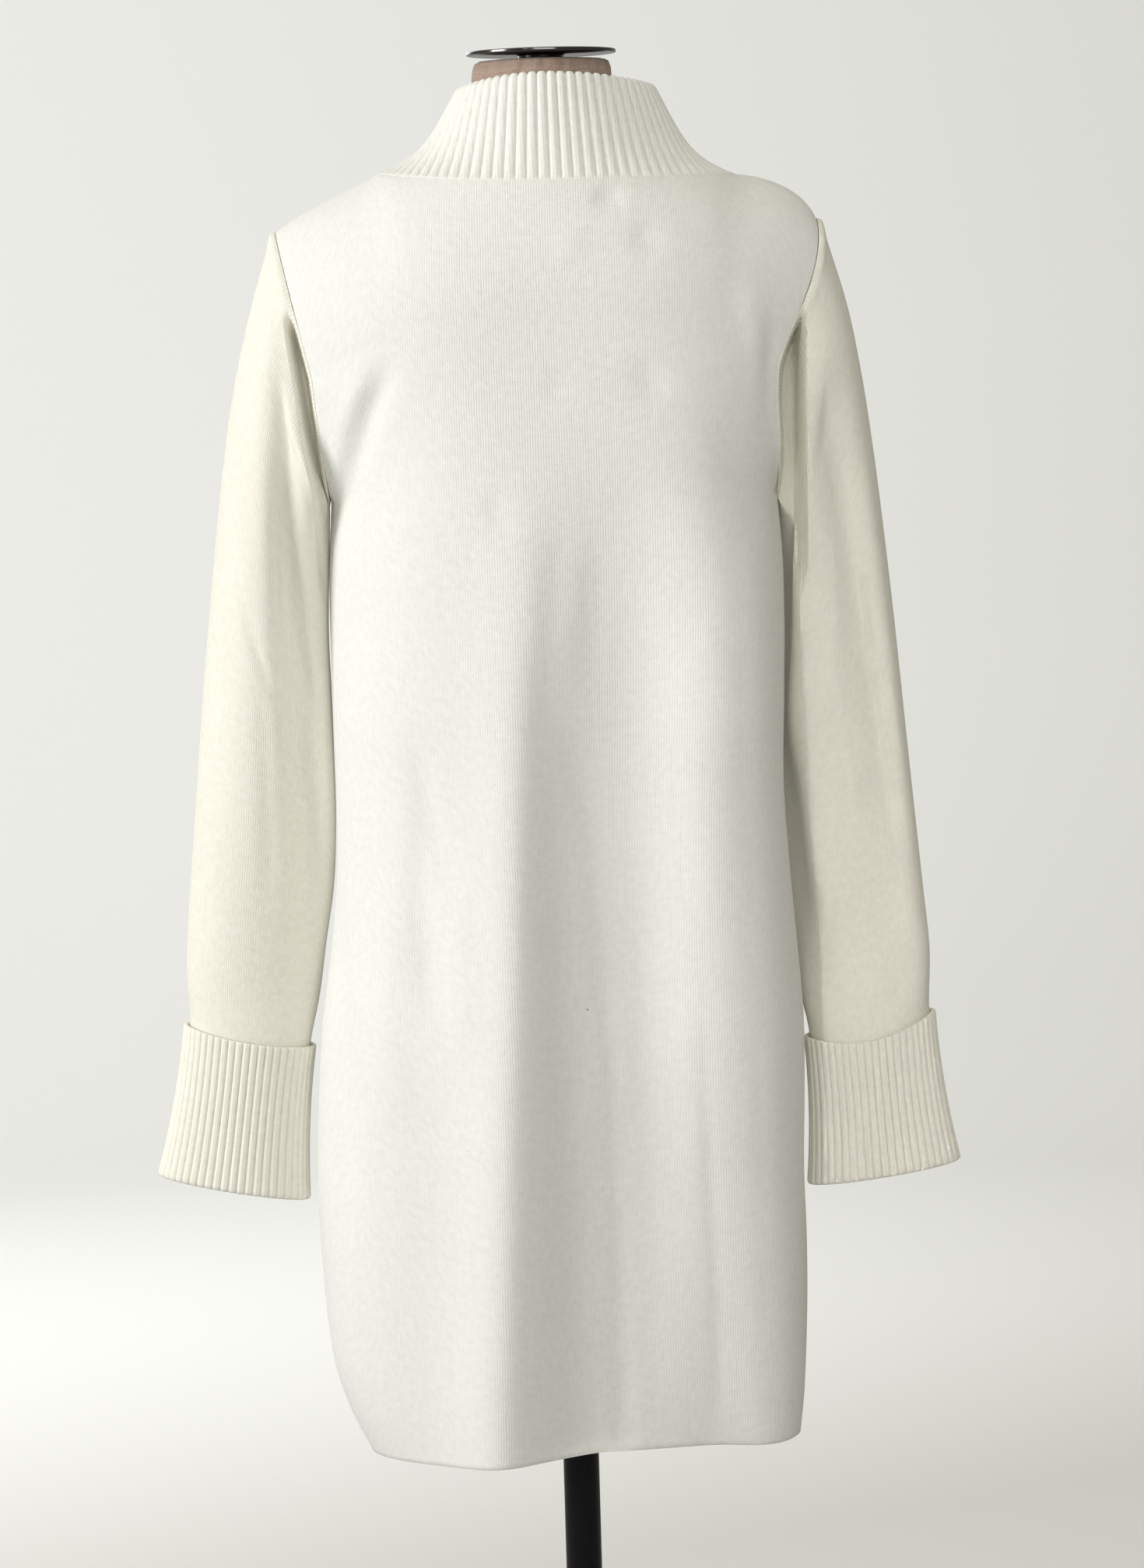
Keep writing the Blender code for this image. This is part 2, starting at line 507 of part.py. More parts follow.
def make_back_panel(collection):
    panel_wall("back_panel", BACK, back_grid(), [0, 2 * HALF_COLUMNS], collection)


def make_front(name, side, collection):
    panel_wall(name, FRONT, front_grid(side), [HALF_COLUMNS], collection)


# ---- collar --------------------------------------------------------------------------------------
def collar_top(side, angle):
    turn = np.radians(angle)
    forward = np.cos(turn) < 0
    left = side.sign > 0
    side_x = COLLAR_TOP_LEFT_X if left else COLLAR_TOP_RIGHT_X
    side_z = COLLAR_TOP_LEFT_Z if left else COLLAR_TOP_RIGHT_Z
    y = np.where(forward, -COLLAR_TOP_FRONT_Y, COLLAR_TOP_BACK_Y) * np.cos(turn)
    end_z = np.where(forward, COLLAR_TOP_FRONT_Z, COLLAR_TOP_BACK_Z)
    z = side_z + (end_z - side_z) * np.cos(turn) ** 2
    return np.stack([side.sign * side_x * np.sin(turn), y, z], axis=-1)


def make_collar(collection):
    """Its columns meet those of the panels below it."""
    half = np.concatenate([BACK_NECK_ANGLES, FRONT_NECK_ANGLES[::-1][1:]])
    columns = [(RIGHT, angle) for angle in half[::-1]] + [(LEFT, angle) for angle in half[1:]]
    top = np.array([collar_top(side, angle * COLLAR_TOP_END / FRONT_EDGE) for side, angle in columns])
    foot = np.array([neckline(side, angle) for side, angle in columns])
    foot += COLLAR_CLEAR * unit(top - foot)
    outer = []
    for height in COLLAR_HEIGHTS:
        lean = COLLAR_FLARE * (1 - (1 - height) ** COLLAR_FLARE_POWER) + (1 - COLLAR_FLARE) * height
        outer.append(foot + (top - foot) * np.array([lean, lean, height]))
    outer = np.array(outer)
    normals = surface_normals(outer, wrap=False)
    normals[0] = np.array([neckline_rim(side, angle) for side, angle in columns])
    cloth_wall("collar", outer, outer - RIB * normals, False, "rib", collection)


# ---- sleeves and cuffs -----------------------------------------------------------------------------
def ring_angles():
    """Angles round a sleeve that meet the rows of both panels at the armhole."""
    return np.array(ARM_ANGLES + [360 - angle for angle in reversed(ARM_ANGLES[1:-1])], float)


def oval(row, side, inset=0.0, pinch=0.0):
    """A ring from its inner end to its outer end, narrowed by the inset all round."""
    turn = np.radians(ring_angles())
    inner, outer = np.array([row.inner_x, row.inner_z]), np.array([row.outer_x, row.outer_z])
    middle, half = (inner + outer) / 2, np.linalg.norm(outer - inner) / 2
    across = (outer - inner) / (2 * half)
    along = (half - inset) * np.cos(turn)
    inward = (1 - np.cos(turn)) / 2
    tuck = row.tuck * inward ** TUCK_POWER
    sag = getattr(row, "sag", 0.0)
    return np.stack([side.sign * (middle[0] + across[0] * along),
                     row.middle_y - tuck
                     + (row.half_depth - inset) * np.sin(turn) * (1 - pinch * inward ** 2),
                     middle[1] + across[1] * along - sag * np.clip(np.sin(turn), 0, 1) ** 2], axis=1)


def cuff_ring(name, side, height, inset):
    """A ring of the cuff at a share of its height, at a distance in from its outer face."""
    bottom, top = CUFF_ENDS[name]
    mixed = [a + (b - a) * height for a, b in zip(bottom, top)]
    bow = CUFF_BOW * 4 * height * (1 - height)
    return oval(CuffRow(*mixed), side, inset + bow)


def add_troughs(rings, name):
    angles = ring_angles()
    normals = surface_normals(rings, wrap=True)
    last_ring = len(rings) - 1
    for trough in SLEEVE_TROUGHS[name]:
        for r in range(len(rings)):
            grow = np.clip((r - 1) / (trough.first - 1), 0, 1)
            fade = np.clip((last_ring - 1 - r) / (last_ring - 1 - trough.last), 0, 1)
            middle = trough.top_angle + (trough.end_angle - trough.top_angle) * r / last_ring
            away = (angles - middle + 180) % 360 - 180
            shape = np.exp(-(away / trough.reach) ** 2)[:, None]
            rings[r] -= trough.depth * min(grow, fade) * shape * normals[r]
    return rings


def in_ring_plane(normals, ring):
    """Normals turned into the plane of their own ring."""
    across = unit(ring[0] - ring[len(ring) // 2])
    plane = unit(np.cross(across, np.array([0.0, 1.0, 0.0])))
    return unit(normals - np.outer(normals @ plane, plane))


def make_sleeve(name, side, collection):
    outward = np.array(ARM_OUTWARD) * np.array([side.sign, 1, 1])
    seam = armhole(side, ring_angles())
    rings = [seam + SEAM * outward, seam + SLEEVE_FIRST_STEP * outward]
    rings += [oval(row, side, pinch=pinch)
              for row, pinch in zip(SLEEVE_ROWS[name], SLEEVE_PINCH[name])]
    layers = 2 * CUFF_RIB + CUFF_SLOT
    inset = layers - CUFF_RIB
    rings += [cuff_ring(name, side, SLEEVE_AT_CUFF, inset),
              cuff_ring(name, side, SLEEVE_END, inset + SLEEVE_CUFF_GAP)]
    rings = add_troughs(np.array(rings), name)
    normals = surface_normals(rings, wrap=True)
    for r in (0, -2, -1):
        normals[r] = in_ring_plane(normals[r], rings[r])
    cloth_wall("sleeve_" + name, rings, rings - KNIT * normals, True, "knit", collection)


def make_cuff(name, side, collection):
    """The wall's closed outline, followed all round the cuff."""
    layers = 2 * CUFF_RIB + CUFF_SLOT
    low, inner_top = CUFF_BEND, 1 - CUFF_COVER
    outline = [(inner_top, layers), (0.5, layers), (low, layers), (0.0, layers - CUFF_RIB)]
    outline += [(0.0, CUFF_RIB), (low, 0.0), (0.33, 0.0), (0.66, 0.0), (1.0, 0.0)]
    outline += [(1.0, CUFF_RIB), (0.5, CUFF_RIB), (CUFF_BEND_INSIDE, CUFF_RIB)]
    outline += [(CUFF_BEND_INSIDE, layers - CUFF_RIB), (0.5, layers - CUFF_RIB)]
    outline += [(inner_top, layers - CUFF_RIB)]
    rings = np.array([cuff_ring(name, side, height, inset) for height, inset in outline])
    faces = grid_faces(len(outline), rings.shape[1], True, wrap_rows=True)
    label = "cuff_" + name
    add_object(label, mesh_from(label, rings.reshape(-1, 3), faces), "rib", collection)


# ---- dress form and stand -----------------------------------------------------------------------------
def make_torso(collection):
    """Level sections from the hip to the neck, closed flat at both ends."""
    turn = np.linspace(0, 2 * math.pi, FORM_COLUMNS, endpoint=False)
    rings = []
    for row in FORM_ROWS:
        power = 2 / row.power
        x = np.sign(np.cos(turn)) * np.abs(np.cos(turn)) ** power * row.half_width
        depth = np.where(np.sin(turn) >= 0, row.back, -row.front)
        y = np.sign(np.sin(turn)) * np.abs(np.sin(turn)) ** power * depth
        rings.append(np.stack([x, y, np.full_like(x, row.z)], axis=1))
    points = np.concatenate(rings)
    faces = grid_faces(len(rings), FORM_COLUMNS, True)
    faces.append(tuple(range(FORM_COLUMNS)))
    faces.append(tuple(len(points) - FORM_COLUMNS + c for c in range(FORM_COLUMNS)))
    add_object("form_torso", mesh_from("form_torso", points, faces), "linen", collection)


def turned(name, profile, finish, collection):
    """A profile of (radius, height), top to bottom down its outer side, turned about Z."""
    mesh = bpy.data.meshes.new(name)
    points = [(radius, 0.0, z) for radius, z in profile]
    mesh.from_pydata(points, [(i, i + 1) for i in range(len(points) - 1)], [])
    body = add_object(name, mesh, finish, collection)
    screw = body.modifiers.new("turn", "SCREW")
    screw.axis = "Z"
    screw.steps = screw.render_steps = ROUND_STEPS
    screw.use_merge_vertices = True
    screw.merge_threshold = 0.0001
    screw.use_smooth_shade = True
    return body


def make_neck_cap(collection):
    neck_top = FORM_ROWS[-1].z + SEAM
    edge = 0.0008
    turned("neck_cap", [
        (0.0, CAP_TOP_Z), (CAP_RADIUS - edge, CAP_TOP_Z), (CAP_RADIUS, CAP_TOP_Z - edge),
        (CAP_RADIUS, CAP_UNDER_Z + edge), (CAP_RADIUS - edge, CAP_UNDER_Z),
        (CAP_STEM_RADIUS, CAP_UNDER_Z), (CAP_STEM_RADIUS, neck_top), (0.0, neck_top)],
        "dark_chrome", collection)


def make_pole(collection):
    top, foot = FORM_ROWS[0].z - SEAM, BASE_THICK + SEAM
    turned("stand_pole", [
        (0.0, top), (FLANGE_RADIUS, top), (FLANGE_RADIUS, top - FLANGE_THICK),
        (POLE_RADIUS, top - FLANGE_THICK), (POLE_RADIUS, foot), (0.0, foot)],
        "black_paint", collection)


def make_base(collection):
    edge, bore = 0.002, POLE_RADIUS + SEAM
    turned("stand_base", [
        (0.0, BASE_THICK), (bore, BASE_THICK), (bore, SOCKET_TOP_Z),
        (SOCKET_RADIUS, SOCKET_TOP_Z), (SOCKET_RADIUS, BASE_THICK),
        (BASE_RADIUS - edge, BASE_THICK), (BASE_RADIUS, BASE_THICK - edge),
        (BASE_RADIUS, edge), (BASE_RADIUS - edge, 0.0), (0.0, 0.0)],
        "black_paint", collection)


def main():
    for existing in list(bpy.data.objects):
        bpy.data.objects.remove(existing, do_unlink=True)
    collection = bpy.data.collections.new("cardigan_on_dress_form")
    bpy.context.scene.collection.children.link(collection)
    make_back_panel(collection)
    make_front("front_left", LEFT, collection)
    make_front("front_right", RIGHT, collection)
    make_collar(collection)
    for name, side in (("left", LEFT), ("right", RIGHT)):
        make_sleeve(name, side, collection)
        make_cuff(name, side, collection)
    make_torso(collection)
    make_neck_cap(collection)
    make_pole(collection)
    make_base(collection)


main()
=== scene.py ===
import math
import bpy
import numpy as np
from mathutils import Matrix, Vector


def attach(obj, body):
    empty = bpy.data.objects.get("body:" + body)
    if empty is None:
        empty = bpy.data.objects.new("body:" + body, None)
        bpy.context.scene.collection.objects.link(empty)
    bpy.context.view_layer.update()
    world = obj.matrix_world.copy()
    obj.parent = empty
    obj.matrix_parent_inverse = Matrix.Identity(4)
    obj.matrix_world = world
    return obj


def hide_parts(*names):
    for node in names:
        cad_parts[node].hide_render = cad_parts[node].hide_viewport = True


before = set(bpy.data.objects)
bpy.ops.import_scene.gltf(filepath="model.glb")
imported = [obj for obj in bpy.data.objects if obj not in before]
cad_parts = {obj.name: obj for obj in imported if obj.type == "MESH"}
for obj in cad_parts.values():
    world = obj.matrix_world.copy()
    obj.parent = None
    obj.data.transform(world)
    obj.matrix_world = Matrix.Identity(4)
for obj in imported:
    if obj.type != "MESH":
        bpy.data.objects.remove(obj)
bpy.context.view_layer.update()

bpy.ops.object.select_all(action="DESELECT")
print("frame loaded:", len(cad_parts), "nodes")

# Shared measures, in metres unless a line says mm: +X the wearer's left, -Y the front, Z up
cloth = {"knit": 0.0022, "rib": 0.0034, "cuffRib": 0.0028, "seam": 0.0003, "edgeRound": 0.45, "ribLevel": 0.85}
shoulders = {
    "left": {"sign": 1, "neckX": 0.1185, "neckZ": 1.4330, "tipX": 0.190, "tipZ": 1.395, "lift": 0.0,
             "drop": 0.003, "bulge": 0.0, "notch": 0.0},
    "right": {"sign": -1, "neckX": 0.1340, "neckZ": 1.4262, "tipX": 0.190, "tipZ": 1.394, "lift": 0.005,
              "drop": 0.009, "bulge": 0.005, "notch": 0.0065},
}
neck = {"back": (0.078, 1.424), "front": (-0.092, 1.385), "frontDrop": 1.8, "frontEdge": 178.3, "start": 52,
        "easeSpread": 9.0, "easeReach": 0.13, "easeBelow": 0.012}
armhole = {"middleX": 0.1655, "middleZ": 1.292, "underX": 0.157, "underZ": 1.205, "back": 0.050,
           "front": -0.052, "outward": (0.972, 0.0, -0.235), "notchAngle": 94, "notchReach": 28,
           "notchPower": 8, "bulgePower": 4, "dropPower": 8}
# How all three panels are evened out at the underarm and held at their seams
panel = {"evenReach": 0.11, "evenSpread": 0.022, "evenEdge": 0.12, "seamHold": 0.014, "seamDip": 0.0003,
         "seamWidth": 0.0035, "rowPower": 1.5}


def fromMm(values):
    return np.asarray(values, float) / 1000


body = {
    "z": fromMm([528, 555, 585, 620, 670, 725, 780, 835, 890, 945, 1000, 1055, 1110, 1160, 1205]),
    "left": fromMm([150, 163, 173, 178, 181, 182, 179.5, 175, 167, 161.2, 159.6, 160.2, 160.8, 160, 157]),
    "right": fromMm([154.5, 158.5, 161, 163, 164, 163, 165, 165.5, 160.7, 155.2, 151.5, 154, 158, 160, 157]),
    "back": fromMm([90, 93, 96, 99, 102, 105, 107, 108, 107, 106, 105, 105, 105, 105, 104]),
    "front": fromMm([-94, -99, -103, -106, -109, -111, -112, -112, -112, -112, -113, -114, -115, -116, -116]),
    "sideY": -0.002, "squareness": 2.4, "flatness": 3.0, "roundAtUnderarm": 0.46, "roundZ": 1.055,
    "edgePower": 8, "edgeFreeZ": 1.110, "backBlade": (0.101, 1.335), "frontBlade": (-0.113, 1.300),
    "foldStart": 0.06, "foldHold": 6,
}


def through(keys, values, at):  # a smooth curve through rows of values
    keys, values = np.asarray(keys, float), np.asarray(values, float)
    slopes = np.gradient(values, keys, axis=0)
    at = np.clip(at, keys[0], keys[-1])
    i = np.clip(np.searchsorted(keys, at, side="right") - 1, 0, len(keys) - 2)
    span = keys[i + 1] - keys[i]
    f = (at - keys[i]) / span
    if values.ndim > 1:
        span, f = span[:, None, None], f[:, None, None]
    return (values[i] * (1 + 2 * f) * (1 - f) ** 2 + span * slopes[i] * f * (1 - f) ** 2
            + values[i + 1] * f ** 2 * (3 - 2 * f) - span * slopes[i + 1] * f ** 2 * (1 - f))


def unit(vectors):
    return vectors / np.maximum(np.linalg.norm(vectors, axis=-1, keepdims=True), 1e-12)


def spans(points, axis=0):  # lengths of the steps between neighbouring points
    return np.linalg.norm(np.diff(points, axis=axis), axis=-1)


def summed(steps):
    return np.concatenate([[0.0], np.cumsum(steps)])


def runAlong(points):  # distance travelled along a line of points
    return summed(spans(points))


def placedAt(points, run, at):
    return np.stack([np.interp(at, run, points[:, axis]) for axis in range(3)], axis=1)


def gridNormals(grid, wrap=False):  # outward normals of a grid of points
    if wrap:
        across = np.roll(grid, -1, axis=1) - np.roll(grid, 1, axis=1)
    else:
        across = np.gradient(grid, axis=1)
    normals = unit(np.cross(across, np.gradient(grid, axis=0)))
    return normals if np.sum(normals * (grid - grid.mean(axis=(0, 1)))) > 0 else -normals


def softStep(value):
    value = np.clip(value, 0.0, 1.0)
    return value * value * (3 - 2 * value)


def bell(offset, width):  # 1 in the middle, fading to 0 on both sides
    return np.exp(-(offset / width) ** 2)


def fadedEnds(share, fadeIn, fadeOut):
    return softStep(share / fadeIn) * softStep((1 - share) / fadeOut)


def creaseDepth(points, creases):  # rows of depth (- is a trough) and width, path of (x, z) in mm, fades
    depth = np.zeros(points.shape[:-1])
    place = points[..., [0, 2]]
    for deep, width, path, *fades in creases:
        path = fromMm(path)
        run = runAlong(path)
        nearest, share = np.full(depth.shape, 9.0), np.zeros(depth.shape)
        for a, b, start, end in zip(path, path[1:], run, run[1:]):
            line = (b - a) / (end - start)
            along = np.clip((place - a) @ line, 0, end - start)
            distance = np.linalg.norm(place - a - along[..., None] * line, axis=-1)
            share = np.where(distance < nearest, (start + along) / run[-1], share)
            nearest = np.minimum(nearest, distance)
        depth += deep / 1000 * fadedEnds(share, *(fades or (0.35, 0.35))) * bell(nearest, width / 1000)
    return depth


def quadGrid(grid, uv, wrapRows, wrapColumns):  # the faces of a grid and their flat-cut corners
    rows, columns = grid.shape[:2]
    row, column = np.meshgrid(np.arange(rows if wrapRows else rows - 1),
                              np.arange(columns if wrapColumns else columns - 1), indexing="ij")
    here, below = row * columns, (row + 1) % rows * columns
    beside = (column + 1) % columns
    faces = np.stack([here + column, below + column, below + beside, here + beside], axis=-1)
    corners = np.stack([uv[row, column], uv[row + 1, column], uv[row + 1, column + 1], uv[row, column + 1]],
                       axis=-2)
    return faces.reshape(-1, 4), corners.reshape(-1, 4, 2)


def solidFrom(name, points, faces, corners):
    mesh = bpy.data.meshes.new(name)
    mesh.from_pydata(points.tolist(), [], faces.tolist())
    cut = mesh.uv_layers.new(name="cut")
    cut.data.foreach_set("uv", corners.reshape(-1).astype(np.float32))
    piece = bpy.data.objects.new(name, mesh)
    bpy.context.scene.collection.objects.link(piece)
    makeConsistent(piece)
    bpy.ops.object.shade_smooth_by_angle(angle=math.radians(60))
    piece.select_set(False)
    return piece


def setMode(mode):
    bpy.ops.object.mode_set(mode=mode)


def makeConsistent(piece):  # all faces outward; holes are closed first
    bpy.ops.object.select_all(action="DESELECT")
    piece.select_set(True)
    bpy.context.view_layer.objects.active = piece
    setMode("EDIT")
    bpy.ops.mesh.select_mode(type="EDGE")
    bpy.ops.mesh.select_all(action="DESELECT")
    bpy.ops.mesh.select_non_manifold()
    bpy.ops.mesh.fill_holes(sides=0)
    bpy.ops.mesh.select_all(action="SELECT")
    bpy.ops.mesh.normals_make_consistent(inside=False)
    setMode("OBJECT")


def closedShell(name, outer, inner, wrap, uv, roundEdges):
    # outer and inner grids joined by a rounded rim; wrap closes the columns into a tube
    rows, columns = outer.shape[:2]
    middle = (outer + inner) / 2
    thick = np.linalg.norm(outer - inner, axis=-1, keepdims=True)

    def rim(edge, at, nextAt):
        away = unit(middle[at] - middle[nextAt])
        return middle[at] + away * thick[at] * (cloth["edgeRound"] if edge in roundEdges else 0.0)

    loop = np.concatenate([rim("top", 0, 1)[None], outer, rim("end", -1, -2)[None], inner[::-1]])
    downAndUp = [0, *range(rows), rows - 1, *range(rows)[::-1], 0]
    faces, corners = quadGrid(loop, uv[downAndUp], True, wrap)
    points = loop.reshape(-1, 3)
    for edge, column, step in () if wrap else (("left", 0, 1), ("right", columns - 1, -1)):
        line = rim(edge, np.s_[:, column], np.s_[:, column + step])
        outerIds = (1 + np.arange(rows)) * columns + column
        innerIds = (rows + 2 + np.arange(rows)[::-1]) * columns + column
        lineIds = len(points) + np.arange(rows)
        points = np.concatenate([points, line])
        strips = [np.stack([a[:-1], a[1:], b[1:], b[:-1]], axis=1)
                  for a, b in ((outerIds, lineIds), (lineIds, innerIds))]
        ends = [[column, outerIds[0], lineIds[0], innerIds[0]],
                [(rows + 1) * columns + column, innerIds[-1], lineIds[-1], outerIds[-1]]]
        side = uv[:, column]
        stripUv = np.stack([side[:-1], side[1:], side[1:], side[:-1]], axis=1)
        endUv = np.repeat(side[[0, -1]], 4, axis=0).reshape(2, 4, 2)
        faces = np.concatenate([faces, np.concatenate([*strips, ends])[:, ::step]])
        corners = np.concatenate([corners, np.concatenate([stripUv, stripUv, endUv])[:, ::step]])
    return solidFrom(name, points, faces, corners)


def closedGrid(grid, wrap):
    return np.concatenate([grid, grid[:, :1]], axis=1) if wrap else grid


def clothArea(grid, wrap=False):
    grid = closedGrid(grid, wrap)
    a, b = np.diff(grid, axis=1)[:-1], np.diff(grid, axis=0)[:, :-1]
    return float(np.linalg.norm(np.cross(a, b), axis=-1).sum())


def cutMap(grid, wrap=False):  # flat-cut coordinates in metres, across from the middle and down from the top
    rows, columns = grid.shape[:2]
    if wrap:
        around = spans(closedGrid(grid, True), 1).sum(axis=1).mean()
        u = np.tile(np.linspace(0, around, columns + 1), (rows, 1))
        v = np.tile(summed(spans(grid).mean(axis=1))[:, None], (1, columns + 1))
    else:
        u = np.array([runAlong(row) for row in grid])
        u = u - u[:, columns // 2][:, None]
        v = np.array([runAlong(line) for line in grid.swapaxes(0, 1)]).T
    return np.stack([u, -v], axis=-1)


# Lines that the sewn pieces share
def neckRing(side, angle, sideX, sideZ, back, front, frontDrop=2.0):  # 0 at the back, 90 at the shoulder
    turn = np.radians(angle)
    forward = np.cos(turn) < 0
    y, endZ = (np.where(forward, *pair) for pair in ((-front[0], back[0]), (front[1], back[1])))
    z = sideZ + (endZ - sideZ) * np.abs(np.cos(turn)) ** np.where(forward, frontDrop, 2.0)
    return np.stack([side["sign"] * sideX * np.sin(turn), y * np.cos(turn), z], axis=-1)


def neckLine(side, angle):
    return neckRing(side, angle, side["neckX"], side["neckZ"], neck["back"], neck["front"], neck["frontDrop"])


def armholeBulge(side, up):  # how far the upper armhole bows out sideways
    return side["bulge"] * 6.75 * np.clip(up, 0, 1) ** 2 * (1 - up)  # 6.75 makes the highest value 1


def armholeNotch(side, angle):  # how far the seam behind cuts into the back
    return side["notch"] * bell(np.asarray(angle, float) - armhole["notchAngle"], armhole["notchReach"])


def armholeLine(side, angle):  # 0 at the shoulder tip, 90 at the back, 180 at the underarm
    turn = np.radians(angle)
    up, back = np.cos(turn), np.sin(turn)
    a = armhole
    depth = np.where(back >= 0, a["back"], -a["front"]) * back
    x = a["middleX"] + np.where(up > 0, side["tipX"] - a["middleX"], a["middleX"] - a["underX"]) * up
    z = a["middleZ"] + np.where(up > 0, side["tipZ"] - a["middleZ"], a["middleZ"] - a["underZ"]) * up
    x = x + armholeBulge(side, up) - armholeNotch(side, angle)
    y = np.where(up > 0, depth, depth + body["sideY"] * (1 - np.abs(back)))
    return np.stack([side["sign"] * x, y, z], axis=-1)


def shoulderSeam(side, share):
    x = side["neckX"] + (side["tipX"] - side["neckX"]) * share
    z = side["neckZ"] + (side["tipZ"] + side["drop"] - side["neckZ"]) * share
    z = z + side["lift"] * 4 * share * (1 - share) - side["drop"] * share ** armhole["dropPower"]
    return np.stack([side["sign"] * x, 0 * share, z], axis=-1)


def bodyAt(name, z):
    return through(body["z"], body[name], z)


def sideName(side):
    return "left" if side["sign"] > 0 else "right"


def freeHalf(side, z):  # half-width without the pull of the armhole
    low = bodyAt(sideName(side), min(z, body["edgeFreeZ"]))
    share = max(0.0, z - body["edgeFreeZ"]) / (body["backBlade"][1] - body["edgeFreeZ"])
    return low + (armhole["middleX"] - low) * share


fine = np.linspace(0.0, 1.0, 161)  # shares of the way out from the middle of the body


def rowBetween(end, freeEnd, middleY, middleZ, roundness):
    turn = fine * math.pi / 2
    power = 2 / body["squareness"]
    roundX, roundY = np.sin(turn) ** power, np.cos(turn) ** power
    across = fine + (roundX - fine) * roundness
    flat = 1 - fine ** body["flatness"]
    deep = flat + (roundY - flat) * roundness
    freeX, sideY = math.copysign(freeEnd[0], end[0]), freeEnd[1]
    pull = fine ** body["edgePower"]
    x = freeX * across + (end[0] - freeX) * pull
    y = sideY + (middleY - sideY) * deep + (end[1] - sideY) * pull
    z = end[2] + (middleZ - end[2]) * (1 - across ** 2)
    return np.stack([x, y, z], axis=1)


def bladeRow(face, side, share):
    angle = 90 + np.degrees(math.asin(min(share, 1.0)))
    end = armholeLine(side, angle if face["name"] == "back" else 360 - angle)
    bladeY, bladeZ = body[face["name"] + "Blade"]
    middleY = bladeY + (body[face["name"]][-1] - bladeY) * share
    middleZ = bladeZ + (body["z"][-1] - bladeZ) * share
    armY = armhole[face["name"]]
    sideY = armY + (body["sideY"] - armY) * softStep(share)
    freeEnd = (freeHalf(side, middleZ), sideY)
    return rowBetween(end, freeEnd, middleY, middleZ, body["roundAtUnderarm"] * share)


def shoulderRow(face, side, angle):
    neckShare = side["neckX"] / side["tipX"]
    neckAngle = np.degrees(np.arcsin(np.clip(fine / neckShare, 0, 1)))
    if face["name"] == "front":
        neckAngle = 180 - neckAngle
    share = np.clip((fine - neckShare) / (1 - neckShare), 0, 1)
    top = np.where((fine <= neckShare)[:, None], neckLine(side, neckAngle), shoulderSeam(side, share))
    start = np.radians(neck["start"] * np.clip(1 - (fine / neckShare) ** 2, 0, 1))
    turn = start + (math.pi / 2 - start) * angle / 90
    out = ((np.sin(turn) - np.sin(start)) / (1 - np.sin(start)))[:, None]
    down = (1 - np.cos(turn) / np.cos(start))[:, None]
    row = top + (bladeRow(face, side, 0.0) - top) * np.concatenate([down, out, down], axis=1)
    up = math.cos(math.radians(angle))
    row[:, 0] += side["sign"] * armholeBulge(side, up) * fine ** armhole["bulgePower"]
    if face["name"] == "back":  # so that the row ends on the armhole's notch
        already = armholeNotch(side, 90) * (1 - up)
        row[:, 0] -= side["sign"] * (armholeNotch(side, angle) - already) * fine ** armhole["notchPower"]
    return row


def skirtRow(face, side, z):
    end = np.array([side["sign"] * bodyAt(sideName(side), z), body["sideY"], z])
    low, high = body["z"][-1], body["roundZ"]
    below = np.clip((low - z) / (low - high), 0, 1)
    roundness = body["roundAtUnderarm"] + (1 - body["roundAtUnderarm"]) * below
    return rowBetween(end, (freeHalf(side, z), body["sideY"]), bodyAt(face["name"], z), z, roundness)


def addSkirtFolds(points, face):  # the long folds that the solids have as well, and the hem's lift
    x, z = points[..., 0], points[..., 2]
    low = body["z"][0]
    out = 1 if face["name"] == "back" else -1
    hold = 1 - fine ** body["foldHold"]  # the seams at the sides hold the folds down
    for topZ, topX, hemX, depth, reach, early in face["folds"]:  # early: how soon it is as deep as it gets
        drop = np.clip((topZ - z) / (topZ - low), 0, 1)
        middle = topX + (hemX - topX) * drop
        share = 1 - (1 - drop * drop / (drop + body["foldStart"])) ** early
        points[..., 1] += out * depth * share * bell(x - middle, reach) * hold
    if "hemLift" in face:
        lift, middle, reach, top = face["hemLift"]
        share = np.clip((top - z) / (top - low), 0, 1)
        points[..., 2] += lift * share * bell(x - middle, reach)
    return points


def bellWeights(run, spread, steps=1.0):
    weights = bell(run[:, None] - run[None], spread) * steps
    return weights / weights.sum(axis=1, keepdims=True)


def easedAtNeck(rows, side):  # evens out the corner where the neck ends and the shoulder starts
    even = np.einsum("ij,kjl->kil", bellWeights(np.arange(rows.shape[1]), neck["easeSpread"]), rows)
    near = bell(fine - side["neckX"] / side["tipX"], neck["easeReach"])
    below = 1 - bell(np.linalg.norm(rows - rows[:1], axis=-1), neck["easeBelow"])
    return rows + (even - rows) * (near * below)[..., None]


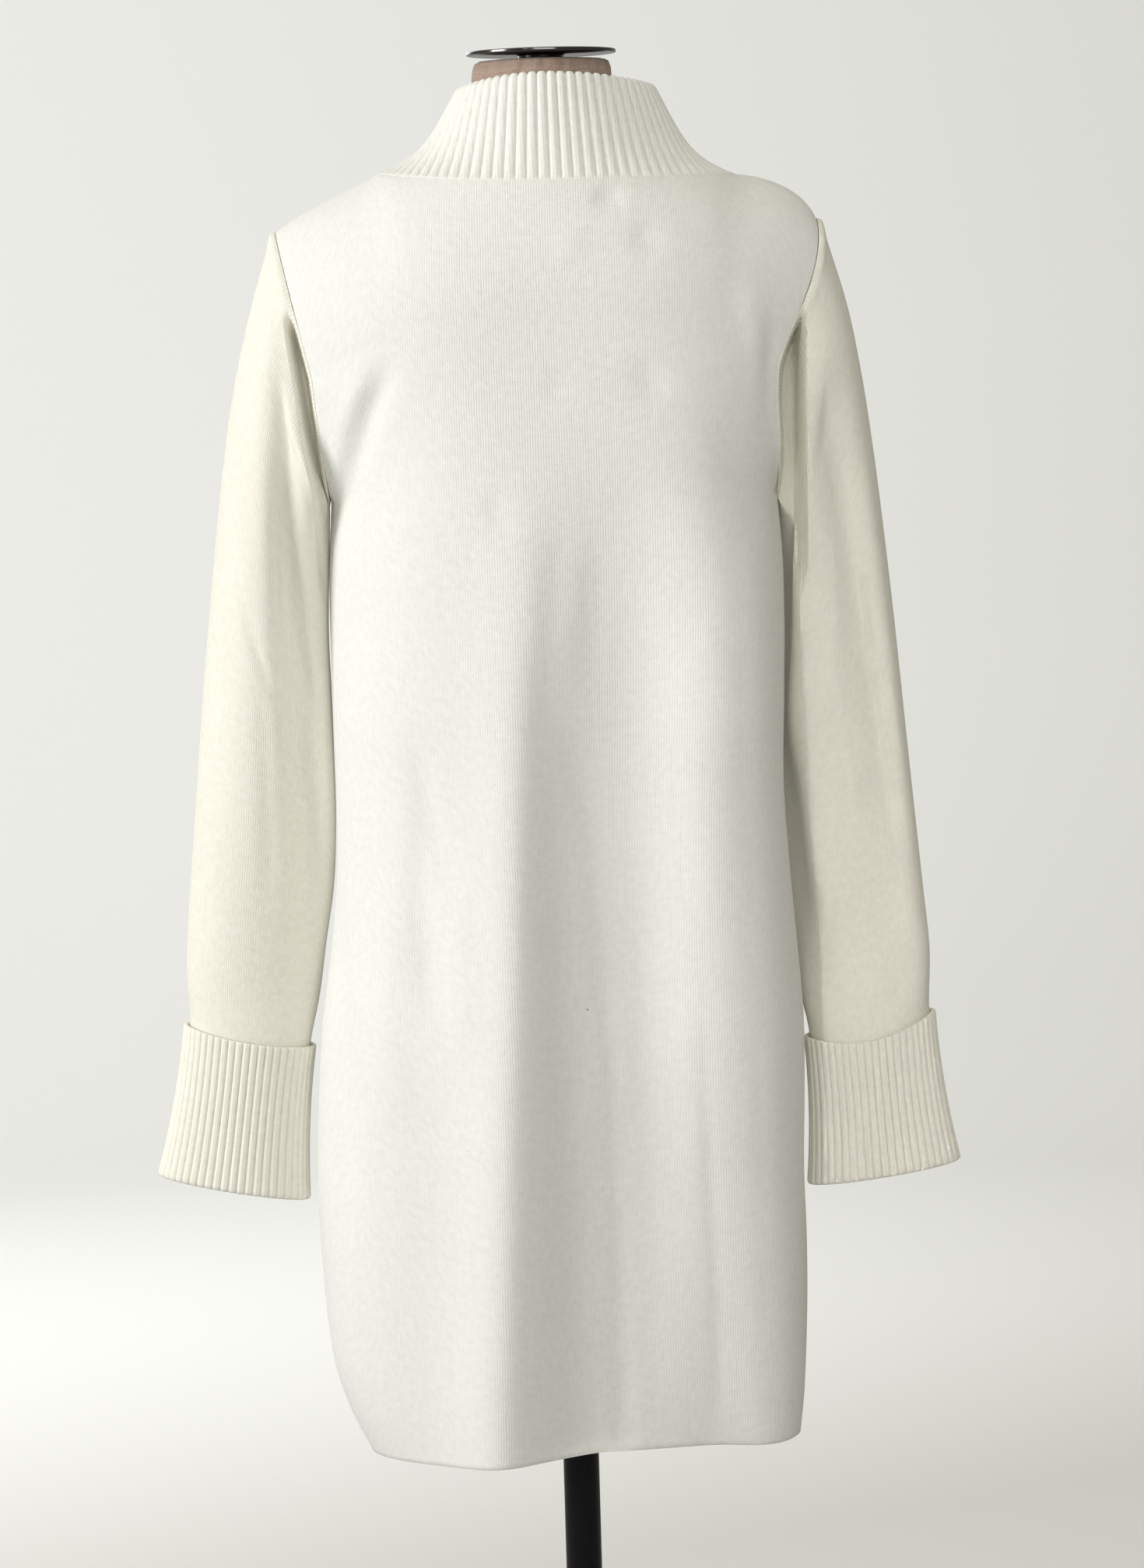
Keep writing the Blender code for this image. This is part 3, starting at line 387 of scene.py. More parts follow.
def halfPanel(face, side):  # from the middle to the side, cut off at a gap if the face has one
    angles = np.linspace(0, 90, face["rows"][0], endpoint=False)
    shares = 1 - (1 - np.linspace(0, 1, face["rows"][1])) ** panel["rowPower"]
    heights = np.linspace(body["z"][-1], body["z"][0], face["rows"][2] + 1)[1:]
    rows = [shoulderRow(face, side, angle) for angle in angles]
    rows += [bladeRow(face, side, share) for share in shares]
    rows += [skirtRow(face, side, z) for z in heights]
    grid = []
    for row in addSkirtFolds(easedAtNeck(np.array(rows), side), face):
        if "gap" in face:
            frontZ = neck["front"][1]
            drop = np.clip((frontZ - row[0, 2]) / (frontZ - body["z"][0]), 0, 1)
            topGap = side["neckX"] * math.sin(math.radians(neck["frontEdge"]))
            edgeX = topGap + (face["gap"] - topGap) * drop ** face["gapPower"]
            reach = np.abs(row[:, 0])
            row = np.concatenate([placedAt(row, reach, [edgeX]), row[reach > edgeX]])
        run = runAlong(row)
        grid.append(placedAt(row, run, np.linspace(0.0, run[-1], face["columns"] + 1)))
    return np.array(grid)


def smoothedDown(grid):  # evens out the change of shape at the underarm
    columns = grid.shape[1]
    middle = grid[:, columns // 2]
    run = runAlong(middle)
    even = np.einsum("ij,jkl->ikl", bellWeights(run, panel["evenSpread"], np.gradient(run)), grid)
    rowShare = softStep(1 - np.abs(middle[:, 2] - armhole["underZ"]) / panel["evenReach"])
    bothSides = grid[0, 0, 0] * grid[0, -1, 0] < 0
    edge = np.abs(np.linspace(-1, 1, columns)) if bothSides else np.linspace(0, 1, columns)
    share = rowShare[:, None] * softStep((1 - edge) / panel["evenEdge"])[None]
    return grid + (even - grid) * share[..., None]


def seamDistance(grid, seams):
    distance = np.full(grid.shape[:2], 9.0)
    lines = {"first": grid[:, 0], "last": grid[:, -1], "top": grid[0]}
    for name in seams:
        for point in lines[name][::3]:
            distance = np.minimum(distance, np.linalg.norm(grid - point, axis=-1))
    return distance


def finishPanel(name, face, grid, seams, rounded):
    grid = smoothedDown(grid)
    distance = seamDistance(grid, seams)
    move = creaseDepth(grid, face["creases"]) * softStep(distance / panel["seamHold"])
    move = move - panel["seamDip"] * bell(distance, panel["seamWidth"])
    grid = grid + move[..., None] * gridNormals(grid)
    inner = grid - cloth["knit"] * gridNormals(grid)
    piece = closedShell(name, grid, inner, False, cutMap(grid), rounded)
    print(name + ":", len(piece.data.polygons), "faces, cloth", round(clothArea(grid), 4), "m2")
    return piece, grid


# The back, one piece of plain knit
backFace = {
    "name": "back", "rows": (44, 48, 216), "columns": 62,
    "folds": [(1.245, 0.0135, 0.056, 0.021, 0.035, 2.9), (1.260, -0.070, -0.068, -0.050, 0.066, 1.8),
              (1.338, -0.125, -0.067, 0.034, 0.050, 4.0)],
    "hemLift": (0.008, -0.060, 0.130, 0.66),
    "creases": [
        (9, 26, [(-132, 1300), (-134, 1000), (-130, 480)], 0.25, 0.03),
        (-10, 24, [(1, 1130), (-6, 900), (-15, 530)], 0.3, 0.02),
        (3.8, 13, [(-30, 1060), (-34, 800), (-37, 530)], 0.5, 0.02),
        (-1.4, 11, [(-6, 1215), (2, 1150), (8, 1060), (12, 1000)]),
        (-1, 10, [(-30, 1190), (-24, 1120), (-20, 1050)]),
        (-0.5, 4, [(-120, 1330), (-121, 1150), (-124, 900), (-128, 700), (-126, 560)], 0.3, 0.1),
        (-1, 5, [(-93, 930), (-96, 740), (-100, 545)], 0.4, 0.1),
        (-5.2, 9, [(104, 1314), (127, 1264), (142, 1222), (152, 1170)]),
        (2.4, 9, [(124, 1308), (143, 1258), (155, 1205)]), (-2, 9, [(101, 1055), (92, 985), (73, 925)]),
        (-2.2, 10, [(100, 1010), (99, 930), (94, 830)]), (1.8, 12, [(74, 960), (72, 880), (74, 800)]),
        (1.6, 14, [(120, 960), (126, 860), (128, 740)]),
        (-3, 7, [(158, 960), (160, 830), (160, 700), (152, 640)]),
        (2.4, 8, [(-136, 1360), (-142, 1325), (-146, 1285)]),
        (-2.4, 8, [(-152, 1330), (-156, 1290), (-155, 1240)]),
        (-1.8, 12, [(-120, 1270), (-128, 1220), (-134, 1150)]),
        (-1.8, 9, [(-34, 1418), (-44, 1411), (-56, 1412)]),
        (-1.6, 9, [(-60, 1392), (-70, 1380), (-78, 1368)]),
        (1, 10, [(-12, 1394), (-18, 1380), (-20, 1366)]),
        (-1.3, 9, [(-60, 1300), (-67, 1285), (-80, 1270)]), (-1, 8, [(44, 1215), (39, 1197), (32, 1176)]),
        (-0.8, 10, [(-12, 1300), (-4, 1280), (6, 1268)]),
    ],
}
backHalves = [halfPanel(backFace, shoulders[name]) for name in ("right", "left")]
backGrid = np.concatenate([backHalves[0][:, ::-1], backHalves[1][:, 1:]], axis=1)
backPiece, backGrid = finishPanel("knitBack", backFace, backGrid, ("first", "last", "top"), ("end",))

# The two fronts, open down the middle
frontFace = {
    "name": "front", "rows": (44, 48, 200), "columns": 56, "gap": 0.021, "gapPower": 1.3,
    "folds": [(1.16, 0.070, 0.062, -0.012, 0.026, 1.0), (1.08, 0.110, 0.116, 0.008, 0.024, 1.0),
              (1.12, -0.058, -0.050, -0.010, 0.024, 1.0), (1.10, -0.100, -0.098, 0.009, 0.026, 1.0)],
    "creases": [
        (2.4, 12, [(46, 1120), (52, 960), (50, 740)]), (-2.2, 10, [(92, 1060), (96, 900), (94, 640)]),
        (-2, 8, [(124, 1270), (136, 1220), (150, 1160)]), (-2.2, 9, [(136, 940), (142, 800), (138, 640)]),
        (-1.1, 12, [(70, 1330), (86, 1290), (94, 1240)]), (2, 13, [(-40, 1080), (-44, 930), (-40, 700)]),
        (-2.4, 11, [(-82, 1020), (-80, 860), (-84, 600)]),
        (-2.2, 8, [(-120, 1280), (-134, 1225), (-148, 1170)]),
        (-1.8, 9, [(-126, 980), (-130, 840), (-128, 640)]),
        (-1, 11, [(-66, 1345), (-78, 1300), (-82, 1250)]),
    ],
}
frontPieces, frontGrids = {}, {}
for name, side in shoulders.items():
    grid = halfPanel(frontFace, side)
    made = finishPanel("knitFront" + name.title(), frontFace, grid, ("last", "top"), ("end", "left"))
    frontPieces[name], frontGrids[name] = made

# The collar: fat round ribs that draw together towards its top
collar = {
    "topBack": (0.0565, 1.4985), "topFront": (-0.098, 1.464), "topEnd": 176.5,
    "topSide": {"left": (0.0590, 1.4920), "right": (0.0785, 1.4905)},
    "flare": 0.42, "flarePower": 6, "clear": 0.00045, "evenEnd": 0.74,
    "ribPitch": 0.0082, "topPitchShare": 0.83, "perRib": 10, "ribDepth": 0.0017, "fullness": 0.55,
    "rows": 34, "insideDepth": 0.0009, "insideLift": 0.0006, "footFade": 0.05, "castOff": 0.96,
    "castOffDip": 0.0009, "castOffScallop": 0.0012,
}


def ribRise(phase, fullness):  # 0 in the groove, 1 on the crown
    return np.abs(np.sin(math.pi * phase)) ** fullness


def collarRow(side, height, ribs):
    angles = np.linspace(0, neck["frontEdge"], 260)
    foot = neckLine(side, angles)
    topAngles = angles * collar["topEnd"] / neck["frontEdge"]
    top = neckRing(side, topAngles, *collar["topSide"][sideName(side)], collar["topBack"], collar["topFront"])
    foot = foot + collar["clear"] * unit(top - foot)
    lean = collar["flare"] * (1 - (1 - height) ** collar["flarePower"]) + (1 - collar["flare"]) * height
    line = foot + (top - foot) * np.array([lean, lean, height])
    run = runAlong(line)
    share = np.linspace(0, 1, ribs * collar["perRib"] + 1)
    first = runAlong(foot)[-1] * (1 + (collar["topPitchShare"] - 1) * height)
    first = min(first, run[-1] / collar["evenEnd"])  # the ribs still have room round at the front edges
    return placedAt(line, run, first * share + (run[-1] - first) * share ** 3)


ribCounts = {}
for name, side in shoulders.items():
    seam = neckLine(side, np.linspace(0, neck["frontEdge"], 200))
    ribCounts[name] = round(runAlong(seam)[-1] / collar["ribPitch"])
heights = np.concatenate([[0.0, 0.012, 0.03, 0.055], np.linspace(0.09, 0.965, collar["rows"] - 7),
                          [0.982, 0.993, 1.0]])
collarGrid = np.array([np.concatenate([collarRow(shoulders["right"], h, ribCounts["right"])[::-1],
                                       collarRow(shoulders["left"], h, ribCounts["left"])[1:]]) for h in heights])
phase = np.arange(collarGrid.shape[1]) - ribCounts["right"] * collar["perRib"]
phase = phase / collar["perRib"] + 0.5
normals = gridNormals(collarGrid)
rise, insideRise = ribRise(phase, collar["fullness"]), ribRise(phase + 0.5, collar["fullness"])
footFade = softStep(np.minimum(heights / collar["footFade"], 1) * 0.8 + 0.2)
sunk = collar["ribDepth"] * (rise[None] - cloth["ribLevel"]) * footFade[:, None]
roundTop = -collar["castOffDip"] * softStep((heights - collar["castOff"]) / (1 - collar["castOff"]))
collarOuter = collarGrid + (sunk + roundTop[:, None])[..., None] * normals
inset = cloth["rib"] - collar["insideLift"] + collar["insideDepth"] * insideRise
collarInner = collarGrid - inset[None, :, None] * normals
for layer in (collarOuter, collarInner):
    layer[-3:, :, 2] -= collar["castOffScallop"] * (1 - rise)[None] * np.array([0.3, 0.7, 1.0])[:, None]
collarPiece = closedShell("ribCollar", collarOuter, collarInner, False, cutMap(collarGrid),
                          ("top", "end", "left", "right"))
print("collar:", sum(ribCounts.values()), "ribs,", len(collarPiece.data.polygons), "faces, cloth",
      round(clothArea(collarGrid), 4), "m2")

# The sleeves, each a tube from the armhole down into its cuff
sleeves = {
    "columns": 112, "rows": 190, "firstStep": 0.003, "underAngle": 35, "atCuff": 1.02, "end": 0.894,
    "cuffGap": 0.0003, "underOut": 0.35, "early": 0.25, "rowPower": 1.25, "creaseStart": 0.05,
    "creaseEnd": (0.955, 0.04),
    "rings": {  # mm: inner x and z, outer x and z, how far the inner side goes forward; how much flatter it is
        "left": [
            (159, 1180, 209.5, 1341, 0, 0.15), (160.4, 1150, 223, 1288, -5, 0.45),
            (161.8, 1112, 233.5, 1229, -9, 0.6), (161.2, 1070, 242.5, 1162, -13, 0.6),
            (160.9, 1025, 250.5, 1098, -16, 0.6), (161.2, 980, 257, 1038, -14, 0.6),
            (164.5, 932, 263, 978, -6, 0.5), (171.5, 890, 268.5, 923, 0, 0.35),
            (178, 850, 272.2, 872, 4, 0.15),
        ],
        "right": [
            (158.3, 1180, 209.2, 1338, 14, 0), (157.2, 1150, 219.3, 1287, 28, 0),
            (155, 1112, 227.3, 1229, 36, 0), (151, 1070, 234.5, 1163, 36, 0),
            (147, 1025, 240.5, 1100, 36, 0), (154.5, 980, 245.5, 1040, 34, 0), (160, 932, 250.8, 977, 28, 0),
            (162.5, 890, 255.5, 922, 20, 0), (165, 850, 259.5, 872, 10, 0),
        ],
    },
    "middleY": fromMm([-3, -8, -13, -17, -20, -21, -21, -20, -18]),
    "halfDepth": fromMm([55, 55, 52, 48, 45, 42, 39, 35, 31]),
    # folds: degrees at the top and at the end, depth, width in degrees, first ring, last ring
    "folds": {"left": [(76, 164, 0.009, 20, 2, 6), (290, 255, 0.006, 26, 4, 9)],
              "right": [(80, 66, 0.008, 24, 3, 10), (150, 160, 0.009, 24, 2, 6), (280, 265, 0.006, 26, 4, 9)]},
    # a fold along the armhole: degrees from and to, how far out, half-width, depth, degrees of its fades
    "seamFolds": {"left": [(66, 165, 0.029, 0.011, 0.006, 34, 30)], "right": []},
    # slack cloth that falls in beside the body: top x and z of its edge, low x and z, softness, top, foot, share;
    # it fades at its top, its foot, its seam and its last angle
    "recess": {"left": (0.178, 1.31, 0.163, 1.20, 0.007, 1.340, 1.150, 0.50),
               "right": (0.175, 1.35, 0.174, 1.15, 0.008, 1.356, 1.120, 1.0)},
    "recessFades": (0.020, 0.040, 0.006, 10), "recessAngle": 178,
    "creases": {  # depth in mm, width in degrees, path of (share of the way down, degrees round), fades
        "left": [
            (-4, 13, [(0.1, 100), (0.25, 112), (0.4, 128), (0.52, 146)]),
            (2.2, 14, [(0.06, 70), (0.22, 84), (0.42, 98), (0.66, 108)]),
            (-1.4, 8, [(0.4, 82), (0.6, 92), (0.84, 100)]),
            (-2.4, 11, [(0.52, 118), (0.72, 128), (0.93, 138)]),
            (-1.2, 7, [(0.36, 60), (0.44, 84), (0.5, 104)]),
            (-3, 12, [(0.04, 140), (0.12, 150), (0.24, 160)]),
            (-3.4, 14, [(0.1, 285), (0.3, 276), (0.56, 262)]),
            (2.2, 14, [(0.36, 300), (0.62, 292), (0.9, 286)]),
            (-2.2, 12, [(0.56, 240), (0.76, 236), (0.94, 234)]),
        ],
        "right": [
            (7.5, 15, [(0.06, 118), (0.22, 118), (0.44, 120), (0.84, 124)], 0.3, 0.2),
            (-11, 15, [(0.1, 72), (0.3, 62), (0.56, 52), (0.86, 48)]),
            (1.4, 9, [(0.3, 92), (0.5, 92), (0.74, 88)]), (2, 12, [(0.24, 44), (0.5, 40), (0.8, 36)]),
            (-1.4, 8, [(0.55, 104), (0.74, 102), (0.92, 100)]),
            (2.2, 18, [(0.84, 56), (0.91, 74), (0.95, 100)], 0.3, 0.3),
            (-3.4, 14, [(0.12, 290), (0.34, 280), (0.6, 266)]),
            (2.2, 14, [(0.4, 305), (0.64, 298), (0.9, 292)]),
        ],
    },
}

# The cuffs: rib knit that goes down, folds, and comes back up outside
cuffs = {  # each ring: inner x and z, outer x and z, middle y, half-depth, tuck forward, sag behind
    "left": {"bottom": (0.1890, 0.7040, 0.2985, 0.7250, -0.022, 0.029, 0.0, 0.0),
             "top": (0.1812, 0.8165, 0.2752, 0.8350, -0.018, 0.032, 0.0, 0.003)},
    "right": {"bottom": (0.1680, 0.7045, 0.2790, 0.7200, -0.022, 0.029, 0.0, 0.0),
              "top": (0.1680, 0.8130, 0.2625, 0.8300, -0.018, 0.032, 0.0, 0.009)},
    "bow": 0.0025, "slot": 0.0014, "cover": 0.11, "bend": 0.030, "rimStart": 0.012,
    "ribs": 46, "perRib": 10, "ribDepth": 0.0017, "fullness": 0.45,
}


def oval(row, side, angles, inset=0.0, pinch=0.0):  # a ring from its inner end to its outer end
    turn = np.radians(angles)
    inner, outer = np.array(row[:2]), np.array(row[2:4])
    middleY, halfDepth, tuck, sag = row[4:]
    middle, half = (inner + outer) / 2, np.linalg.norm(outer - inner) / 2
    across = (outer - inner) / (2 * half)
    along = (half - inset) * np.cos(turn)
    inward = (1 - np.cos(turn)) / 2
    y = middleY + (halfDepth - inset) * np.sin(turn) * (1 - pinch * inward ** 2) - tuck * inward ** 1.5
    return np.stack([side["sign"] * (middle[0] + across[0] * along), y,
                     middle[1] + across[1] * along - sag * np.clip(np.sin(turn), 0, 1) ** 2], axis=-1)


def cuffRing(name, height, inset, angles):
    low, high = np.array(cuffs[name]["bottom"]), np.array(cuffs[name]["top"])
    bow = cuffs["bow"] * 4 * height * (1 - height)
    return oval(low + (high - low) * height, shoulders[name], angles, inset + bow)


def bellRound(angles, middle, width):  # a bell across the line that middle draws round a tube
    return bell((angles[None] - middle[:, None] + 180) % 360 - 180, width)


def ringCreases(share, angles, creases):
    depth = np.zeros((len(share), len(angles)))
    for deep, width, path, *fades in creases:
        path = np.array(path, float)
        middle = through(path[:, 0], path[:, 1], share)
        along = (share - path[0, 0]) / (path[-1, 0] - path[0, 0])
        ends = fadedEnds(along, *(fades or (0.4, 0.4)))
        depth += deep / 1000 * ends[:, None] * bellRound(angles, middle, width)
    return depth


sleevePieces, sleeveGrids = {}, {}
for name, side in shoulders.items():
    angles = np.linspace(0, 360, sleeves["columns"], endpoint=False)
    outward = np.array(armhole["outward"]) * np.array([side["sign"], 1, 1])
    seam = armholeLine(side, angles)
    under = bell(angles - 180, sleeves["underAngle"])[:, None]  # the sleeve goes straight down from the underarm
    step = unit(outward * (1 - under) + np.array([sleeves["underOut"] * side["sign"], 0, -1.0]) * under)
    rings = [seam + cloth["seam"] * outward, seam + sleeves["firstStep"] * step]
    for (*ends, tuck, pinch), middleY, halfDepth in zip(sleeves["rings"][name], sleeves["middleY"],
                                                        sleeves["halfDepth"]):
        rings.append(oval((*fromMm(ends), middleY, halfDepth, tuck / 1000, 0.0), side, angles, pinch=pinch))
    layers = cloth["cuffRib"] + cuffs["slot"]
    rings.append(cuffRing(name, sleeves["atCuff"], layers, angles))
    rings.append(cuffRing(name, sleeves["end"], layers + sleeves["cuffGap"], angles))
    rings.insert(2, rings[1] + (rings[2] - rings[1]) * sleeves["early"])
    rings = np.array(rings)
    ringNumbers = np.concatenate([[0, 1, 1 + sleeves["early"]], np.arange(2, len(rings) - 1)])
    keys = summed(spans(rings).mean(axis=1))
    at = keys[-1] * np.linspace(0, 1, sleeves["rows"]) ** sleeves["rowPower"]
    grid = through(keys, rings, at)
    normals = gridNormals(grid, True)
    ringNumber, last = np.interp(at, keys, ringNumbers), ringNumbers[-1]
    for topAngle, endAngle, depth, reach, firstRing, lastRing in sleeves["folds"][name]:
        grow = np.clip((ringNumber - 1) / (firstRing - 1), 0, 1)
        fade = np.clip((last - 1 - ringNumber) / (last - 1 - lastRing), 0, 1)
        middle = topAngle + (endAngle - topAngle) * ringNumber / last
        shape = bellRound(angles, middle, reach) * softStep(np.minimum(grow, fade))[:, None]
        grid = grid - depth * shape[..., None] * normals
    share = at / at[-1]
    creaseEnd, creaseFade = sleeves["creaseEnd"]
    ends = softStep(share / sleeves["creaseStart"]) * softStep((creaseEnd - share) / creaseFade)
    move = ringCreases(share, angles, sleeves["creases"][name]) * ends[:, None]
    for first, end, place, reach, depth, fadeIn, fadeOut in sleeves["seamFolds"][name]:
        along = softStep((angles - first) / fadeIn) * softStep((end - angles) / fadeOut)
        move += depth * (softStep(at / place) * bell(at - place, reach))[:, None] * along
    grid = grid + move[..., None] * gridNormals(grid, True)
    topX, topZ, lowX, lowZ, soft, top, foot, pressed = sleeves["recess"][name]
    z = grid[..., 2]
    edgeX = lowX + (topX - lowX) * (z - lowZ) / (topZ - lowZ)
    inside = softStep((edgeX - side["sign"] * grid[..., 0]) / soft + 0.5)
    topFade, footFade, seamFade, angleFade = sleeves["recessFades"]
    inside *= softStep((top - z) / topFade) * softStep((z - foot) / footFade)
    inside *= softStep(at / seamFade)[:, None] * softStep((sleeves["recessAngle"] - angles) / angleFade)
    grid[..., 1] -= pressed * inside * np.clip(grid[..., 1], 0, None)
    piece = closedShell("knitSleeve" + name.title(), grid, grid - cloth["knit"] * gridNormals(grid, True), True,
                        cutMap(grid, True), ("end",))
    sleevePieces[name], sleeveGrids[name] = piece, grid
    print("sleeve", name + ":", len(piece.data.polygons), "faces, cloth", round(clothArea(grid, True), 4), "m2")

cuffPieces = {}
for name, side in shoulders.items():
    rib, bend, innerTop = cloth["cuffRib"], cuffs["bend"], 1 - cuffs["cover"]
    layers = 2 * rib + cuffs["slot"]
    rim = 1.0 - cuffs["rimStart"]
    outline = [(h, 0.0, 1.0) for h in np.linspace(rim, bend, 46)]  # height, inset, how ribbed
    outline += [(bend * (1 - math.sin(t)), layers / 2 * (1 - math.cos(t)), 1.0)
                for t in np.linspace(0, math.pi, 9)[1:-1]]
    outline += [(h, layers, 0.8) for h in np.linspace(bend, innerTop, 12)]
    outline += [(innerTop + cuffs["rimStart"], layers - rib / 2, 0.0)]
    outline += [(h, layers - rib, 0.0) for h in np.linspace(innerTop, bend * 1.3, 8)]
    outline += [(h, rib, 0.0) for h in np.linspace(bend * 1.3, rim, 12)]
    outline += [(0.997, rib * 0.85, 0.2), (1.0, rib * 0.5, 0.5), (0.997, rib * 0.15, 0.8)]
    count = cuffs["ribs"] * cuffs["perRib"]
    dense = np.linspace(0, 360, 1441)
    low, high = (np.interp(np.linspace(0, run[-1], count, endpoint=False), run, dense)
                 for run in (runAlong(cuffRing(name, height, 0.0, dense)) for height in (0.0, 1.0)))
    phase = np.arange(count) / cuffs["perRib"]
    rings = []
    for height, inset, ribbed in outline:
        angles = low + (high - low) * height  # the ribs stay evenly spaced round the fold and round the top
        ring = cuffRing(name, height, inset, angles)
        outward = unit(cuffRing(name, height, inset - 0.001, angles) - ring)
        sign, crown = (1.0, phase) if inset < layers * 0.5 else (-1.0, phase + 0.5)
        crown = ribRise(crown, cuffs["fullness"])
        rings.append(ring + (sign * ribbed * cuffs["ribDepth"] * (crown - cloth["ribLevel"]))[:, None] * outward)
    rings = np.array(rings)
    down = summed(spans(rings).mean(axis=1))
    around = runAlong(cuffRing(name, 0.5, 0.0, dense))[-1]
    uv = np.stack(np.meshgrid(around / count * np.arange(count + 1), -np.append(down, down[-1] + 0.001)), axis=-1)
    cuffPieces[name] = solidFrom("ribCuff" + name.title(), rings.reshape(-1, 3), *quadGrid(rings, uv, True, True))
    print("cuff", name + ":", cuffs["ribs"], "ribs,", len(cuffPieces[name].data.polygons), "faces")

# The dress form under the cloth: smooth linen, gathered at the top of the neck
form = {
    "z": fromMm([800, 806, 822, 850, 900, 960, 1020, 1070, 1120, 1180, 1240, 1290, 1330, 1360, 1380, 1390,
                 1396.5, 1401.5, 1411, 1420, 1429, 1435.5, 1441, 1449, 1458, 1470, 1485, 1503, 1507.5, 1509]),
    "half": fromMm([118, 132, 142, 146, 144, 134, 122, 118, 122, 132, 142, 150, 160, 170, 176, 176.5, 175,
                    171.5, 157, 138.5, 117, 96, 84, 71, 61, 54, 50, 49, 47.5, 44.5]),
    "back": fromMm([70, 79, 85, 87, 86, 82, 78, 77, 79, 84, 89, 91, 88, 81, 73, 67.5, 64, 61, 55, 51.5, 50,
                    49.8, 49.6, 49.4, 49.2, 49.1, 49, 49, 47.5, 44.5]),
    "front": fromMm([-72, -81, -86, -89, -89, -87, -86, -87, -92, -100, -105, -102, -94, -84, -75, -70, -67,
                     -64, -58, -54, -52, -51, -50, -49.6, -49.2, -49.1, -49, -49, -47.5, -44.5]),
    "power": [2.2, 2.2, 2.2, 2.2, 2.2, 2.2, 2.2, 2.2, 2.2, 2.2, 2.2, 2.2, 2.2, 2.2, 2.1, 2.1, 2.1, 1.8, 1.55,
              1.4, 1.35, 1.4, 1.5, 1.7, 1.9, 2, 2, 2, 2, 2],
    "columns": 128, "gathers": 23, "gatherDepth": 0.0009, "gatherTop": 1.4890, "gatherRise": 0.018,
}
heights = np.concatenate([np.linspace(low, high, 3, endpoint=False) for low, high in zip(form["z"], form["z"][1:])]
                         + [form["z"][-1:]])
turn = np.linspace(0, 2 * math.pi, form["columns"], endpoint=False)
gathers = 0.6 * np.sin(form["gathers"] * turn + 1.3 * np.sin(3 * turn)) + 0.4 * np.sin(41 * turn + 2.0)
rings = []
for z in heights:
    half, back, front, power = (np.interp(z, form["z"], form[key]) for key in ("half", "back", "front", "power"))
    gather = softStep((z - form["gatherTop"]) / form["gatherRise"]) * form["gatherDepth"]
    pull = gather * gathers - gather
    x, y = (np.sign(w) * np.abs(w) ** (2 / power) * reach + w * pull
            for w, reach in ((np.cos(turn), half), (np.sin(turn), np.where(np.sin(turn) >= 0, back, -front))))
    rings.append(np.stack([x, y, np.full_like(x, z)], axis=1))
flatten = [[share, share, 1.0] for share in (0.03, 0.2, 0.5, 0.8)]  # both ends shrink to the middle
rings = np.array([rings[0] * s for s in flatten] + rings + [rings[-1] * s for s in flatten[::-1]])
uv = np.stack(np.meshgrid(0.9 / form["columns"] * np.arange(form["columns"] + 1),
                          heights[0] + 0.012 * np.arange(len(rings))), axis=-1)
formPiece = solidFrom("linenForm", rings.reshape(-1, 3), *quadGrid(rings, uv, False, True))
print("dress form:", len(formPiece.data.polygons), "faces")

# Hard pieces: the neck's cap, the pole and the round base
def startPiece(name):
    piece = bpy.context.active_object
    piece.name = piece.data.name = name
    return piece


def cylinder(name, vertices, radius, low, high):
    bpy.ops.mesh.primitive_cylinder_add(vertices=vertices, radius=radius, depth=high - low,
                                        location=(0, 0, (high + low) / 2))
    return startPiece(name)


def selectEnd(piece, way):  # the faces that look up (1) or down (-1)
    setMode("EDIT")
    bpy.ops.mesh.select_mode(type="FACE")
    bpy.ops.mesh.select_all(action="DESELECT")
    setMode("OBJECT")
    for face in piece.data.polygons:
        face.select = face.normal.z * way > 0.9
    setMode("EDIT")


def inset(thickness, depth=0):
    bpy.ops.mesh.inset(thickness=thickness, depth=depth)


def raiseFaces(height):
    bpy.ops.mesh.extrude_region_move(TRANSFORM_OT_translate={"value": (0, 0, height)})


def bevelAt(piece, width, segments, angle):
    bevel = piece.modifiers.new("softEdge", "BEVEL")
    bevel.width, bevel.segments = width, segments
    bevel.limit_method, bevel.angle_limit = "ANGLE", math.radians(angle)
    bpy.ops.object.modifier_apply(modifier=bevel.name)


def finishHard(piece, width, segments, angle):
    setMode("OBJECT")
    bevelAt(piece, width, segments, angle)
    bpy.ops.object.transform_apply(location=True, rotation=True, scale=True)
    bpy.ops.object.shade_smooth_by_angle(angle=math.radians(35))
    piece.select_set(False)


cap = {"radius": 0.0525, "under": 1.5133, "top": 1.5158, "stem": 0.016, "stemFoot": 1.5093, "stemFlare": 0.002,
       "stemRise": 0.0004, "dish": 0.0005, "dishFlare": 0.0006, "rim": 0.0016, "edge": 0.0007}
capPiece = cylinder("neckCapDisc", 144, cap["radius"], cap["under"], cap["top"])
selectEnd(capPiece, 1)  # a shallow dish inside the rim
inset(cap["rim"])
inset(cap["dishFlare"], -cap["dish"])
selectEnd(capPiece, -1)  # and the stem below it
inset(cap["radius"] - cap["stem"] - cap["stemFlare"])
inset(cap["stemFlare"], cap["stemRise"])
raiseFaces(cap["stemFoot"] - cap["under"] + cap["stemRise"])
finishHard(capPiece, cap["edge"], 3, 50)

